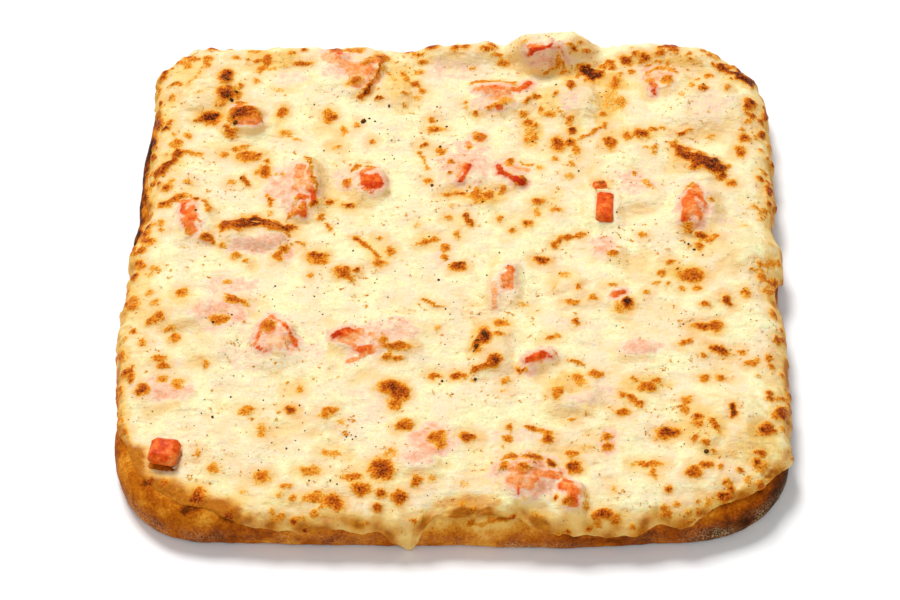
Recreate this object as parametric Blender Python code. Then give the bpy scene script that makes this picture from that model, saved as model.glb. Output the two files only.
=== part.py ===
"""A square pan pizza: a thick bread base, a blanket of melted cheese that runs over its
shoulder and down its side, and pieces of diced tomato sunk in the cheese.

Metres, +Z up. The flat underside lies at z = 0 with its middle at the origin, and the
front edge faces -Y. Lumps of chicken and tomato that the cheese covers whole are mounds
of the cheese.
"""

import math
import random

import bmesh
import bpy
import numpy as np

MM = 0.001
GAP = 0.35 * MM

# Bread at its widest: four sides and four corner radii
SIDE_LEFT = -124.3 * MM
SIDE_RIGHT = 124.8 * MM
SIDE_FRONT = -125.2 * MM
SIDE_BACK = 126.0 * MM
RADIUS_FRONT_LEFT = 44.0 * MM
RADIUS_FRONT_RIGHT = 41.0 * MM
RADIUS_BACK_RIGHT = 44.0 * MM
RADIUS_BACK_LEFT = 22.0 * MM
# Where the outline swells out or draws in: bearing in degrees, millimetres, spread in degrees
SWELLS = (
    (-147.0, -3.4, 8.0),
    (-129.0, 2.2, 7.0),
    (-112.0, 0.8, 12.0),
    (-54.0, -4.2, 9.0),
    (-24.0, 1.0, 8.0),
    (-11.0, 1.2, 4.0),
    (4.0, 1.8, 4.0),
    (12.0, -1.0, 3.0),
    (21.0, 1.0, 5.0),
    (33.0, -0.5, 5.0),
    (45.0, 6.2, 9.0),
    (66.0, 5.0, 11.0),
    (85.0, 2.0, 9.0),
    (135.0, -1.5, 4.0),
    (155.0, 2.0, 10.0),
    (172.0, 1.4, 2.5),
)

# Side of the bread, from the shoulder round to the foot
WIDEST_Z = 7.0 * MM
SHOULDER_Z = 15.4 * MM
SHOULDER_IN = 9.0 * MM
SHOULDER_POWER = 2.4
FOOT_IN = 4.0 * MM
FOOT_POWER = 3.0
CRUST_RINGS = 9

# Cheese: cells along a side, height of the open middle, rim over the shoulder, edge
CELLS = 46
SKIRT_RINGS = 5
PLATEAU_Z = 21.0 * MM
PLATEAU_SLOPE = 0.011
RIM_FRONT = 2.0 * MM
RIM_BACK = 6.8 * MM
ROLL_LENGTH = 6.0 * MM
EDGE_THICK = 1.0 * MM
EDGE_INTO_BREAD = 2.5 * MM
CORE_SHARE = 0.75
CLEARANCE_TURN = math.radians(0.5)
# Lower edge of the cheese: bearing in degrees, share of the side that it runs down
EDGE_DROPS = (
    (-180, 0.42),
    (-165, 0.46),
    (-152, 0.44),
    (-146, 0.28),
    (-142, 0.08),
    (-130, 0.01),
    (-123, 0.06),
    (-120, 0.30),
    (-112, 0.42),
    (-107, 0.33),
    (-103, 0.40),
    (-98.5, 0.36),
    (-96.8, 0.76),
    (-94.8, 0.79),
    (-91.6, 0.16),
    (-79, 0.10),
    (-73.5, 0.38),
    (-61, 0.43),
    (-58, 0.28),
    (-55.5, 0.40),
    (-50, 0.10),
    (-40, 0.16),
    (-35, 0.42),
    (-12, 0.46),
    (-7, 0.22),
    (-2, 0.26),
    (2, 0.46),
    (30, 0.50),
    (60, 0.42),
    (90, 0.38),
    (120, 0.44),
    (142, 0.42),
    (147, 0.14),
    (173, 0.12),
    (177, 0.36),
)

SHARP_ANGLE = math.radians(50)

# Toppings are placed as they look from EYE on a level plane at SIGHT_Z, whose own origin
# lies SIGHT_START in front of the middle
EYE = (18.9 * MM, -733.2 * MM, 760.1 * MM)
SIGHT_Z = 22.0 * MM
SIGHT_START = 3.0 * MM
SIGHT_STEPS = 16
# Mounds of the cheese over chicken and tomato: sight x, y, length, width, turn, height
MOUNDS = (
    (-103, 96, 25, 24, 10, 4.5),
    (101, 94, 34, 32, 0, 4.0),
    (46, 96, 22, 24, 0, 3.5),
    (-45, 111, 30, 32, -20, 4.0),
    (-27, 99, 16, 18, 0, 3.0),
    (0, 128, 42, 20, 0, 5.2),
    (37, 136, 38, 22, 0, 12.5),
    (88, 130, 46, 22, -8, 5.4),
    (-68, 121, 24, 14, 8, 2.4),
    (84, 107, 22, 20, 0, 3.5),
    (17, 97, 30, 20, 0, 3.5),
    (3, 52, 26, 22, 0, 3.0),
    (20, 49, 16, 16, 0, 2.5),
    (10, 37, 18, 12, -10, 2.0),
    (58, 37, 18, 26, 0, 3.0),
    (73, 42, 20, 18, 0, 2.5),
    (94, 34, 22, 30, 0, 4.0),
    (110, 15, 26, 26, 0, 3.0),
    (95, 60, 24, 14, -35, 2.5),
    (-34, 44, 18, 20, 0, 3.0),
    (-60, 44, 18, 34, 0, 4.0),
    (-78, 16, 26, 14, 0, 3.5),
    (-101, 22, 18, 24, 0, 3.5),
    (-87, 80, 20, 22, 0, 3.5),
    (-100, -25, 28, 18, 0, 3.5),
    (-90, -44, 20, 16, 0, 2.5),
    (-87, -28, 24, 24, 0, 2.5),
    (-66, -40, 22, 28, 0, 3.0),
    (-39, -39, 16, 16, 0, 2.5),
    (-21, -35, 26, 22, -20, 2.5),
    (15, -42, 18, 26, 0, 3.5),
    (34, -47, 18, 10, 35, 2.5),
    (20, -8, 14, 26, 0, 3.0),
    (45, -65, 24, 16, 0, 3.0),
    (44, -9, 14, 14, 0, 2.0),
    (60, 9, 14, 14, 0, 2.0),
    (68, -41, 18, 12, 0, 2.0),
    (100, -74, 32, 34, 0, 3.5),
    (-104, -67, 24, 14, 0, 3.0),
    (27, -104, 24, 24, 0, 3.0),
    (45, -112, 12, 16, 0, 2.5),
    (-10, -97, 18, 14, 0, 2.0),
)
# A mound's foot in half sizes from its middle, the width of its slope, how mounds heap up,
# and what is left of one at the rim
MOUND_REACH = 1.2
MOUND_SLOPE = 0.75
MOUND_HEAP = 0.25
MOUND_AT_RIM = 0.85
# Tomato: name, sight x, y, length, width, turn, height over the cheese, number of the draw
TOMATOES = (
    ("corner_cube", -101.0, -94.8, 11.5, 11.0, -8, 2.6, 3),
    ("front_slice", 27.0, -105.4, 13.5, 18.0, 12, 1.4, 5),
    ("front_corner", 38.8, -103.5, 6.0, 5.0, 20, 0.9, 7),
    ("front_lobe", 45.5, -112.0, 6.0, 9.5, 5, 1.2, 9),
    ("left_wedge", -65.5, -38.5, 12.5, 17.0, -14, 1.4, 11),
    ("centre_chip", -41.0, -36.5, 7.5, 7.5, 8, 1.2, 13),
    ("centre_square", -31.7, -44.0, 5.5, 5.5, 15, 0.9, 15),
    ("middle_strip", 21.4, -3.0, 4.5, 12.0, -14, 1.4, 17),
    ("middle_sliver", 16.2, -16.0, 3.0, 14.0, -6, 1.0, 19),
    ("arched_strip", 32.5, -46.5, 12.0, 5.0, 33, 1.2, 21),
    ("right_chip", 63.2, -12.9, 5.5, 4.5, 10, 1.0, 23),
    ("left_strip", -102.8, 25.5, 7.5, 14.5, 14, 1.3, 25),
    ("left_chip", -95.4, 13.0, 4.5, 4.5, 25, 1.0, 27),
    ("long_slice", -57.4, 49.0, 7.0, 20.0, 9, 1.6, 29),
    ("lower_slice", -60.2, 29.0, 7.0, 9.0, 6, 1.2, 31),
    ("round_dice", -33.0, 46.8, 10.5, 14.5, 10, 1.6, 33),
    ("dice_chip", -42.2, 44.0, 4.5, 5.0, 0, 1.0, 35),
    ("roasted_dice", -85.5, 82.2, 12.0, 13.5, 12, 1.8, 37),
    ("back_slice", -38.0, 110.0, 9.0, 20.0, -17, 1.6, 39),
    ("back_shred", -51.5, 120.5, 8.0, 6.0, -35, 1.2, 41),
    ("arc_slice", 15.0, 101.5, 16.0, 6.5, 2, 1.2, 43),
    ("arc_corner", 27.0, 102.0, 5.5, 7.0, 8, 1.2, 45),
    ("small_dice", 16.4, 90.0, 4.5, 5.0, 10, 0.9, 47),
    ("rim_dice", 33.0, 128.5, 9.5, 9.5, 20, 2.2, 49),
    ("orange_dice", 8.8, 71.2, 5.5, 6.5, 0, 1.2, 51),
    ("thin_strip", 3.3, 51.5, 3.0, 11.0, -11, 0.9, 53),
    ("hook_strip", 21.8, 51.0, 4.5, 13.0, 50, 1.2, 55),
    ("bright_dice", 58.6, 35.2, 7.2, 15.0, -4, 1.8, 57),
    ("bright_cap", 56.8, 46.8, 6.0, 4.2, 14, 1.4, 59),
    ("right_wedge", 93.0, 35.5, 8.0, 19.0, -8, 1.5, 61),
    ("rim_strip", 78.6, 104.0, 3.6, 7.5, -6, 1.0, 63),
    ("rim_round", 85.3, 108.0, 5.0, 6.0, 15, 1.0, 65),
)
DICE_FLOOR_Z = 17.2 * MM
DICE_DEPTH = 6.5 * MM
DICE_BEVEL = 0.14
DICE_TAPER = 0.9
DICE_DIP = 0.9 * MM
POCKET_LIFT = 9.0 * MM


def wrapped(degrees):
    """Degrees brought into -180 to 180."""
    return (np.asarray(degrees, float) + 180.0) % 360.0 - 180.0


def outline_radius(bearing):
    """Distance from the middle to the widest line of the bread, at bearings in radians."""
    bearing = np.asarray(bearing, float)
    mid_x = (SIDE_LEFT + SIDE_RIGHT) / 2
    mid_y = (SIDE_FRONT + SIDE_BACK) / 2
    half_x = (SIDE_RIGHT - SIDE_LEFT) / 2
    half_y = (SIDE_BACK - SIDE_FRONT) / 2
    near = np.zeros_like(bearing)
    far = np.full_like(bearing, 2 * half_x)
    for _ in range(40):
        reach = (near + far) / 2
        x = reach * np.cos(bearing) - mid_x
        y = reach * np.sin(bearing) - mid_y
        front = np.where(x < 0, RADIUS_FRONT_LEFT, RADIUS_FRONT_RIGHT)
        back = np.where(x < 0, RADIUS_BACK_LEFT, RADIUS_BACK_RIGHT)
        radius = np.where(y < 0, front, back)
        over_x = np.abs(x) - half_x + radius
        over_y = np.abs(y) - half_y + radius
        past = np.hypot(np.maximum(over_x, 0), np.maximum(over_y, 0))
        outside = np.minimum(np.maximum(over_x, over_y), 0) + past > radius
        far = np.where(outside, reach, far)
        near = np.where(outside, near, reach)
    for centre, out, spread in SWELLS:
        off = wrapped(np.degrees(bearing) - centre) / spread
        near = near + out * MM * np.exp(-off * off)
    return near


def outline_point(bearing):
    reach = outline_radius(bearing)
    return np.stack([reach * np.cos(bearing), reach * np.sin(bearing)], -1)


def outline_normal(bearing):
    """Outward unit normal of the outline in plan."""
    step = math.radians(1.5)
    along = outline_point(bearing + step) - outline_point(bearing - step)
    normal = np.stack([along[..., 1], -along[..., 0]], -1)
    return normal / np.linalg.norm(normal, axis=-1, keepdims=True)


def side_curve(share):
    """Inset, height and normal of the bread's side: share 0 is the shoulder, 0.5 the widest
    line and 1 the foot."""
    share = np.asarray(share, float)
    turn = np.radians(90.0 - 180.0 * share)
    upper = turn >= 0
    power = np.where(upper, 2 / SHOULDER_POWER, 2 / FOOT_POWER)
    inset = np.where(upper, SHOULDER_IN, FOOT_IN)
    height = np.where(upper, SHOULDER_Z - WIDEST_Z, WIDEST_Z)
    across = np.abs(np.cos(turn)) ** power
    rise = np.abs(np.sin(turn)) ** power * np.sign(turn)
    out = np.cos(turn) ** (2 - power) / inset
    up = np.abs(np.sin(turn)) ** (2 - power) * np.sign(turn) / height
    size = np.hypot(out, up)
    return inset * (1 - across), WIDEST_Z + height * rise, out / size, up / size


def side_points(bearing, share, thick):
    """Points at a distance thick outside the bread's side."""
    inset, height, out, up = side_curve(share)
    plan = outline_point(bearing) + outline_normal(bearing) * (out * thick - inset)[..., None]
    return np.concatenate([plan, (height + up * thick)[..., None]], -1)


def edge_drop(bearing):
    """Share of the side that the cheese covers at each bearing."""
    table = np.array(EDGE_DROPS, float)
    table = np.vstack([table, [table[0, 0] + 360.0, table[0, 1]]])
    return np.interp(wrapped(np.degrees(bearing)), table[:, 0], table[:, 1])


def laid_at(sight_x, sight_y, height):
    """Where a thing seen at a point of the sight plane lies, when it is at this height."""
    share = (EYE[2] - height) / (EYE[2] - SIGHT_Z)
    return (
        EYE[0] + (sight_x * MM - EYE[0]) * share,
        EYE[1] + (sight_y * MM - SIGHT_START - EYE[1]) * share,
    )


def mound_height(x, y):
    """Height that the mounds add at points in plan."""
    total = np.zeros_like(x)
    for sight_x, sight_y, length, width, turn, rise in MOUNDS:
        mid_x, mid_y = laid_at(sight_x, sight_y, PLATEAU_Z + rise * MM)
        angle = math.radians(turn)
        along = (x - mid_x) * math.cos(angle) + (y - mid_y) * math.sin(angle)
        aside = (y - mid_y) * math.cos(angle) - (x - mid_x) * math.sin(angle)
        along = np.abs(along) / (length * MM / 2)
        aside = np.abs(aside) / (width * MM / 2)
        fall = np.clip((MOUND_REACH - np.cbrt(along**3 + aside**3)) / MOUND_SLOPE, 0, 1)
        lift = rise * MM * fall * fall * (3 - 2 * fall)
        total = np.maximum(total, lift) + MOUND_HEAP * np.minimum(total, lift)
    return total


def rim_height(bearing):
    """Thickness of the cheese where it meets the shoulder."""
    back = (1 + np.sin(bearing)) / 2
    return RIM_FRONT + (RIM_BACK - RIM_FRONT) * back


def cheese_top(x, y, bearing, inside):
    """Height of the cheese at points in plan. Inside is the share of the way in from its rim."""
    roll = 1 - np.exp(-inside * -SIDE_LEFT / ROLL_LENGTH)
    wave = np.sin(x * 61 + 1.3) * np.cos(y * 53 - 0.4) + 0.6 * np.sin(x * 118 - y * 97)
    rim = SHOULDER_Z + rim_height(bearing)
    level = PLATEAU_Z + PLATEAU_SLOPE * y + 0.7 * MM * wave
    return rim + (level - rim) * roll + mound_height(x, y) * (MOUND_AT_RIM + (1 - MOUND_AT_RIM) * roll)


def rim_walk():
    """Border corners of the cheese grid, counter-clockwise from the middle of the right side."""
    half = CELLS // 2
    walk = [(half, k) for k in range(half)]
    walk += [(k, half) for k in range(half, -half, -1)]
    walk += [(-half, k) for k in range(half, -half, -1)]
    walk += [(k, -half) for k in range(-half, half)]
    walk += [(half, k) for k in range(-half, 0)]
    return walk


def grid_to_plan(column, row):
    """Plan point, bearing and share inside the rim of a corner of the cheese grid."""
    half = CELLS // 2
    side = max(abs(column), abs(row)) / half
    bearing = math.atan2(row, column)
    rim = side_points(np.array(bearing), np.array(0.0), np.array(0.0))
    even = -SIDE_LEFT - SHOULDER_IN
    blend = side**3
    x = column / half * even * (1 - blend) + rim[0] * side * blend
    y = row / half * even * (1 - blend) + rim[1] * side * blend
    return x, y, bearing, 1 - side


def new_object(name, shape, collection, material):
    bmesh.ops.recalc_face_normals(shape, faces=shape.faces)
    mesh = bpy.data.meshes.new(name)
    shape.to_mesh(mesh)
    shape.free()
    mesh.shade_smooth()
    mesh.set_sharp_from_angle(angle=SHARP_ANGLE)
    made = bpy.data.objects.new(name, mesh)
    collection.objects.link(made)
    if material is not None:
        mesh.materials.append(material)
    return made


def new_material(name, colour, roughness):
    material = bpy.data.materials.new(name)
    material.use_nodes = True
    shader = material.node_tree.nodes["Principled BSDF"]
    shader.inputs["Base Color"].default_value = (*colour, 1.0)
    shader.inputs["Roughness"].default_value = roughness
    material.diffuse_color = (*colour, 1.0)
    return material


def join_rings(shape, first, second):
    count = len(first)
    for k in range(count):
        after = (k + 1) % count
        shape.faces.new((first[k], first[after], second[after], second[k]))


def make_bread(name, grow, turn, collection, material):
    """Bread: a closed stack of rings with a flat underside and a flat top under the cheese.
    Turn shifts the corners of the rings along the outline, off the corners of the cheese."""
    shape = bmesh.new()
    bearings = np.array([math.atan2(row, column) for column, row in rim_walk()[::2]]) + turn
    rings = []
    for share in np.linspace(0, 1, CRUST_RINGS):
        points = side_points(bearings, np.full(len(bearings), share), np.full(len(bearings), grow))
        rings.append([shape.verts.new(point) for point in points])
    for upper, lower in zip(rings, rings[1:]):
        join_rings(shape, upper, lower)
    shape.faces.new(rings[0])
    shape.faces.new(rings[-1])
    return new_object(name, shape, collection, material)


def make_cheese(collection):
    """Cheese: a grid over the bread and a skirt down its side, closed inside the bread."""
    shape = bmesh.new()
    half = CELLS // 2
    grid = {}
    bmesh.ops.create_grid(shape, x_segments=CELLS, y_segments=CELLS, size=half)
    for vert in shape.verts:
        corner = (round(vert.co.x), round(vert.co.y))
        x, y, bearing, inside = grid_to_plan(*corner)
        height = cheese_top(np.array(x), np.array(y), np.array(bearing), inside)
        vert.co = (x, y, float(height))
        grid[corner] = vert
    walk = rim_walk()
    bearings = np.array([math.atan2(row, column) for column, row in walk])
    drops = edge_drop(bearings)
    rim = np.array([grid[corner].co.z for corner in walk]) - SHOULDER_Z
    rings = [[grid[corner] for corner in walk]]
    for step in range(1, SKIRT_RINGS + 1):
        part = step / SKIRT_RINGS
        thick = rim * (1 - part) ** 1.3 + EDGE_THICK * part
        points = side_points(bearings, drops * part, thick)
        rings.append([shape.verts.new(point) for point in points])
    points = side_points(bearings, drops, np.full(len(bearings), -EDGE_INTO_BREAD))
    rings.append([shape.verts.new(point) for point in points])
    core = points * CORE_SHARE
    core[:, 2] = WIDEST_Z
    rings.append([shape.verts.new(point) for point in core])
    for upper, lower in zip(rings, rings[1:]):
        join_rings(shape, upper, lower)
    shape.faces.new(rings[-1])
    material = new_material("melted_cheese", (0.86, 0.72, 0.45), 0.5)
    return new_object("cheese", shape, collection, material)


def dice_corners(row, grow, taper, lift):
    """Eight corners of a tomato piece by their signs: a block with each side drawn a little off."""
    _, sight_x, sight_y, length, width, turn, over, draw = row
    top = PLATEAU_Z
    for _ in range(SIGHT_STEPS):
        x, y = laid_at(sight_x, sight_y, top)
        bearing = math.atan2(y, x)
        inside = max(1 - math.hypot(x, y) / float(outline_radius(bearing)), 0.03)
        level = cheese_top(np.array(x), np.array(y), np.array(bearing), inside)
        top = (top + float(level) + over * MM) / 2
    floor = max(DICE_FLOOR_Z, top - DICE_DEPTH)
    source = random.Random(draw)
    angle = math.radians(turn)
    corners = {}
    for side_x in (-1, 1):
        for side_y in (-1, 1):
            near_x = length * MM / 2 * source.uniform(0.92, 1.06)
            near_y = width * MM / 2 * source.uniform(0.92, 1.06)
            dip = source.uniform(0, DICE_DIP)
            for side_z, share, level in ((-1, 1.0, floor - grow), (1, taper, top - dip + lift)):
                along = side_x * (near_x * share + grow)
                aside = side_y * (near_y * share + grow)
                corners[side_x, side_y, side_z] = (
                    x + along * math.cos(angle) - aside * math.sin(angle),
                    y + along * math.sin(angle) + aside * math.cos(angle),
                    level,
                )
    return corners


def block(corners):
    shape = bmesh.new()
    bmesh.ops.create_cube(shape, size=2.0)
    for vert in shape.verts:
        vert.co = corners[round(vert.co.x), round(vert.co.y), round(vert.co.z)]
    return shape


def make_dice(row, collection, material):
    """One tomato piece, narrower at its top, with worn edges."""
    shape = block(dice_corners(row, 0.0, DICE_TAPER, 0.0))
    bmesh.ops.bevel(
        shape,
        geom=list(shape.edges),
        offset=min(row[3], row[4]) * MM * DICE_BEVEL,
        offset_type="OFFSET",
        segments=1,
        profile=0.5,
        affect="EDGES",
        clamp_overlap=True,
    )
    return new_object("tomato_" + row[0], shape, collection, material)


def make_cutter(name, shape_object, cheese):
    """Hides a cutter from the render and takes it out of the cheese."""
    shape_object.hide_render = True
    shape_object.display_type = "WIRE"
    cut = cheese.modifiers.new(name, "BOOLEAN")
    cut.operation = "DIFFERENCE"
    cut.solver = "EXACT"
    cut.object = shape_object


def build():
    for old in list(bpy.data.objects):
        bpy.data.objects.remove(old, do_unlink=True)
    scene = bpy.context.scene
    pizza = bpy.data.collections.new("caesar_pizza")
    cutters = bpy.data.collections.new("cutters")
    scene.collection.children.link(pizza)
    scene.collection.children.link(cutters)
    cutters.hide_render = True

    bread = new_material("baked_bread", (0.42, 0.2, 0.06), 0.75)
    make_bread("crust", 0.0, CLEARANCE_TURN, pizza, bread)
    cheese = make_cheese(pizza)
    room = make_bread("bread_clearance", GAP, CLEARANCE_TURN, cutters, None)
    make_cutter("bread_clearance", room, cheese)
    red = new_material("roasted_tomato", (0.75, 0.1, 0.03), 0.4)
    for row in TOMATOES:
        make_dice(row, pizza, red)
        pocket = block(dice_corners(row, GAP, 1.0, POCKET_LIFT))
        name = "pocket_" + row[0]
        make_cutter(name, new_object(name, pocket, cutters, None), cheese)


build()
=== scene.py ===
import math
import random

import bmesh
import bpy
import numpy as np
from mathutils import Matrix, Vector, noise
from mathutils.bvhtree import BVHTree


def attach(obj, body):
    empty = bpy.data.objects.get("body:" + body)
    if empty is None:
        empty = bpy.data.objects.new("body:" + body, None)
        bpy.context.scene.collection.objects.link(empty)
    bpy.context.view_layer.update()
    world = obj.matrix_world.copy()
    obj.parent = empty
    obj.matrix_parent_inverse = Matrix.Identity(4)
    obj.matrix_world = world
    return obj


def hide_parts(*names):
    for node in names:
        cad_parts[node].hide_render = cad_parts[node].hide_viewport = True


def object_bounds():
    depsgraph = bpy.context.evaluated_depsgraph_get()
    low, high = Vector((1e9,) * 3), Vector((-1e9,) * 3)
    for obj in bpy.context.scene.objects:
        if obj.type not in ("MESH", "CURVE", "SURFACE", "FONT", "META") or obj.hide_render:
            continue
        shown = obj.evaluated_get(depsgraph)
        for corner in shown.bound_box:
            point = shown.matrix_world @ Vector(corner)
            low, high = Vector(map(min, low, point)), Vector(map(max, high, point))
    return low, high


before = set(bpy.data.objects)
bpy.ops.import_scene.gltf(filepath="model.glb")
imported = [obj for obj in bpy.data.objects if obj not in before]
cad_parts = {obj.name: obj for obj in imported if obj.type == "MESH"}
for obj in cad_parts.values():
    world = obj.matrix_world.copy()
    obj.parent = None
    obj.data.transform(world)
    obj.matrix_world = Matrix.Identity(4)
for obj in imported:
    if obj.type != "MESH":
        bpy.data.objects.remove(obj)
cad_low, cad_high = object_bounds()

# The camera looks down over the front edge, as on food on a counter. What lies on the
# pizza is placed as it looks from here on a level plane at SIGHT_Z, whose own origin lies
# SIGHT_START in front of the middle.
MM = 0.001
EYE = Vector((18.9 * MM, -733.2 * MM, 760.1 * MM))
AIM = Vector((0.0, -11.0 * MM, 12.0 * MM))
FOCAL_LENGTH = 108.8
SENSOR_WIDTH = 36.0
IMAGE_WIDTH = 900
SHIFT_ACROSS = -2.0 / IMAGE_WIDTH
SHIFT_UP = -3.0 / IMAGE_WIDTH
SIGHT_Z = 22.0 * MM
SIGHT_START = 3.0 * MM

lens = bpy.data.cameras.new("camera")
lens.lens = FOCAL_LENGTH
lens.sensor_width = SENSOR_WIDTH
lens.shift_x = SHIFT_ACROSS
lens.shift_y = SHIFT_UP
camera = bpy.data.objects.new("camera", lens)
camera.location = EYE
camera.rotation_euler = (AIM - EYE).to_track_quat("-Z", "Y").to_euler()
bpy.context.scene.collection.objects.link(camera)
bpy.context.scene.camera = camera


def seen_at(points):
    """Where points look to lie on the sight plane."""
    share = (EYE.z - SIGHT_Z) / (EYE.z - points[:, 2])
    across = EYE.x + (points[:, 0] - EYE.x) * share
    return across, EYE.y + (points[:, 1] - EYE.y) * share + SIGHT_START


def laid_at(sight_x, sight_y, height):
    """Plan point of a thing of this height, from its place on the sight plane in millimetres."""
    share = (EYE.z - height) / (EYE.z - SIGHT_Z)
    x = EYE.x + (sight_x * MM - EYE.x) * share
    return x, EYE.y + (sight_y * MM - SIGHT_START - EYE.y) * share


# The bread: one thick square of dough baked in a tin, so it has round corners, a nearly
# upright side and a flat foot. The side browned against the tin, in mottled patches, and
# the flour that the dough was rolled in is still on its foot.
SIDE_LEFT = -124.3 * MM
SIDE_RIGHT = 124.8 * MM
SIDE_FRONT = -125.2 * MM
SIDE_BACK = 126.0 * MM
RADIUS_FRONT_LEFT = 44.0 * MM
RADIUS_FRONT_RIGHT = 41.0 * MM
RADIUS_BACK_RIGHT = 44.0 * MM
RADIUS_BACK_LEFT = 22.0 * MM
# Bearing in degrees, millimetres outwards, spread in degrees
SWELLS = (
    (-147.0, -3.4, 8.0), (-129.0, 2.2, 7.0), (-112.0, 0.8, 12.0), (-54.0, -4.2, 9.0),
    (-24.0, 1.0, 8.0), (-11.0, 1.2, 4.0), (4.0, 1.8, 4.0), (12.0, -1.0, 3.0),
    (21.0, 1.0, 5.0), (33.0, -0.5, 5.0), (45.0, 6.2, 9.0), (66.0, 5.0, 11.0),
    (85.0, 2.0, 9.0), (135.0, -1.5, 4.0), (155.0, 2.0, 10.0), (172.0, 1.4, 2.5),
)
WIDEST_Z = 7.0 * MM
SHOULDER_Z = 15.4 * MM
SHOULDER_IN = 9.0 * MM
SHOULDER_POWER = 2.4
FOOT_IN = 4.0 * MM
FOOT_POWER = 3.0
BREAD_STEPS = 900
BREAD_RINGS = 40
MERGE_WITHIN = 0.01 * MM
# Bearing of the front left corner, which the cheese leaves bare
BARE_BEARING = -134.0


def wrapped(degrees):
    return (np.asarray(degrees, float) + 180.0) % 360.0 - 180.0


def outline_reach(bearing):
    """Distance from the middle to the widest line of the bread, at bearings in radians."""
    mid_x = (SIDE_LEFT + SIDE_RIGHT) / 2
    mid_y = (SIDE_FRONT + SIDE_BACK) / 2
    half_x = (SIDE_RIGHT - SIDE_LEFT) / 2
    half_y = (SIDE_BACK - SIDE_FRONT) / 2
    near = np.zeros_like(bearing)
    far = np.full_like(bearing, 2 * half_x)
    for _ in range(36):
        reach = (near + far) / 2
        x = reach * np.cos(bearing) - mid_x
        y = reach * np.sin(bearing) - mid_y
        front = np.where(x < 0, RADIUS_FRONT_LEFT, RADIUS_FRONT_RIGHT)
        back = np.where(x < 0, RADIUS_BACK_LEFT, RADIUS_BACK_RIGHT)
        radius = np.where(y < 0, front, back)
        over_x = np.abs(x) - half_x + radius
        over_y = np.abs(y) - half_y + radius
        past = np.hypot(np.maximum(over_x, 0), np.maximum(over_y, 0))
        outside = np.minimum(np.maximum(over_x, over_y), 0) + past > radius
        far = np.where(outside, reach, far)
        near = np.where(outside, near, reach)
    for centre, out, spread in SWELLS:
        off = wrapped(np.degrees(bearing) - centre) / spread
        near = near + out * MM * np.exp(-off * off)
    return near


def outline_point(bearing):
    reach = outline_reach(bearing)
    return np.stack([reach * np.cos(bearing), reach * np.sin(bearing)], -1)


def side_points(bearing, share, thick):
    """Points at a distance thick outside the bread's side: share 0 is its shoulder, 0.5 its
    widest line and 1 its foot."""
    step = math.radians(1.5)
    along = outline_point(bearing + step) - outline_point(bearing - step)
    outward = np.stack([along[:, 1], -along[:, 0]], -1)
    outward /= np.linalg.norm(outward, axis=1, keepdims=True)
    turn = np.radians(90.0 - 180.0 * share)
    upper = turn >= 0
    power = np.where(upper, 2 / SHOULDER_POWER, 2 / FOOT_POWER)
    inset = np.where(upper, SHOULDER_IN, FOOT_IN)
    height = np.where(upper, SHOULDER_Z - WIDEST_Z, WIDEST_Z)
    across = np.abs(np.cos(turn))
    rise = np.abs(np.sin(turn))
    out = across ** (2 - power) / inset
    up = rise ** (2 - power) * np.sign(turn) / height
    size = np.hypot(out, up)
    reach = out / size * thick - inset * (1 - across**power)
    plan = outline_point(bearing) + outward * reach[:, None]
    level = WIDEST_Z + height * rise**power * np.sign(turn) + up / size * thick
    return np.concatenate([plan, level[:, None]], 1)


def lumps(points, size, seed):
    """Smooth uneven values, about -1 to 1, with lumps of this size."""
    start = Vector((17.3, 5.1, -9.7)) * seed
    return np.array([noise.noise(Vector(point) / size + start) for point in points.tolist()])


def layered(points, *layers):
    """Lumps of several sizes added up: how much, their size in millimetres and their seed."""
    return sum(amount * lumps(points, size * MM, seed) for amount, size, seed in layers)


def eased(value, low, high):
    """0 below low, 1 above high, and a smooth step between."""
    share = np.clip((value - low) / (high - low), 0, 1)
    return share * share * (3 - 2 * share)


def read_points(mesh):
    found = np.empty(len(mesh.vertices) * 3)
    mesh.vertices.foreach_get("co", found)
    return found.reshape(-1, 3)


def write_points(mesh, points):
    """Moves the vertices, no further than the pizza's own box."""
    room = 0.05 * MM
    inside = np.clip(points, np.array(cad_low) + [room, room, 0], np.array(cad_high) - room)
    mesh.vertices.foreach_set("co", inside.ravel())
    mesh.update()


def write_field(mesh, name, values):
    field = mesh.attributes.new(name, "FLOAT", "POINT")
    field.data.foreach_set("value", np.clip(values, 0, 1).astype(np.float32))


def finished_mesh(name, shape):
    bmesh.ops.recalc_face_normals(shape, faces=shape.faces)
    mesh = bpy.data.meshes.new(name)
    shape.to_mesh(mesh)
    shape.free()
    mesh.shade_smooth()
    return mesh


def new_piece(name, mesh, material, slot, *nodes):
    made = bpy.data.objects.new(name, mesh)
    mesh.materials.append(material)
    bpy.context.scene.collection.objects.link(made)
    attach(made, "root")
    if nodes:
        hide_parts(*nodes)
    return made


def paint(red, green, blue):
    """A colour as the eye reads it, 0 to 255, turned into light."""
    share = np.array([red, green, blue]) / 255
    light = np.where(share <= 0.04045, share / 12.92, ((share + 0.055) / 1.055) ** 2.4)
    return (*light.tolist(), 1.0)


def add_node(tree, kind, inputs=(), **settings):
    """One shader node, with its sockets set to values or joined to other nodes' outputs."""
    made = tree.nodes.new(kind)
    for key, value in settings.items():
        setattr(made, key, value)
    for name, value in dict(inputs).items():
        if isinstance(value, bpy.types.NodeSocket):
            tree.links.new(value, made.inputs[name])
        else:
            made.inputs[name].default_value = value
    return made


def speckle(tree, place, scale, detail=3.0, roughness=0.6):
    """Uneven values between 0 and 1."""
    sockets = {"Vector": place, "Scale": scale, "Detail": detail, "Roughness": roughness}
    return add_node(tree, "ShaderNodeTexNoise", sockets).outputs["Fac"]


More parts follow.
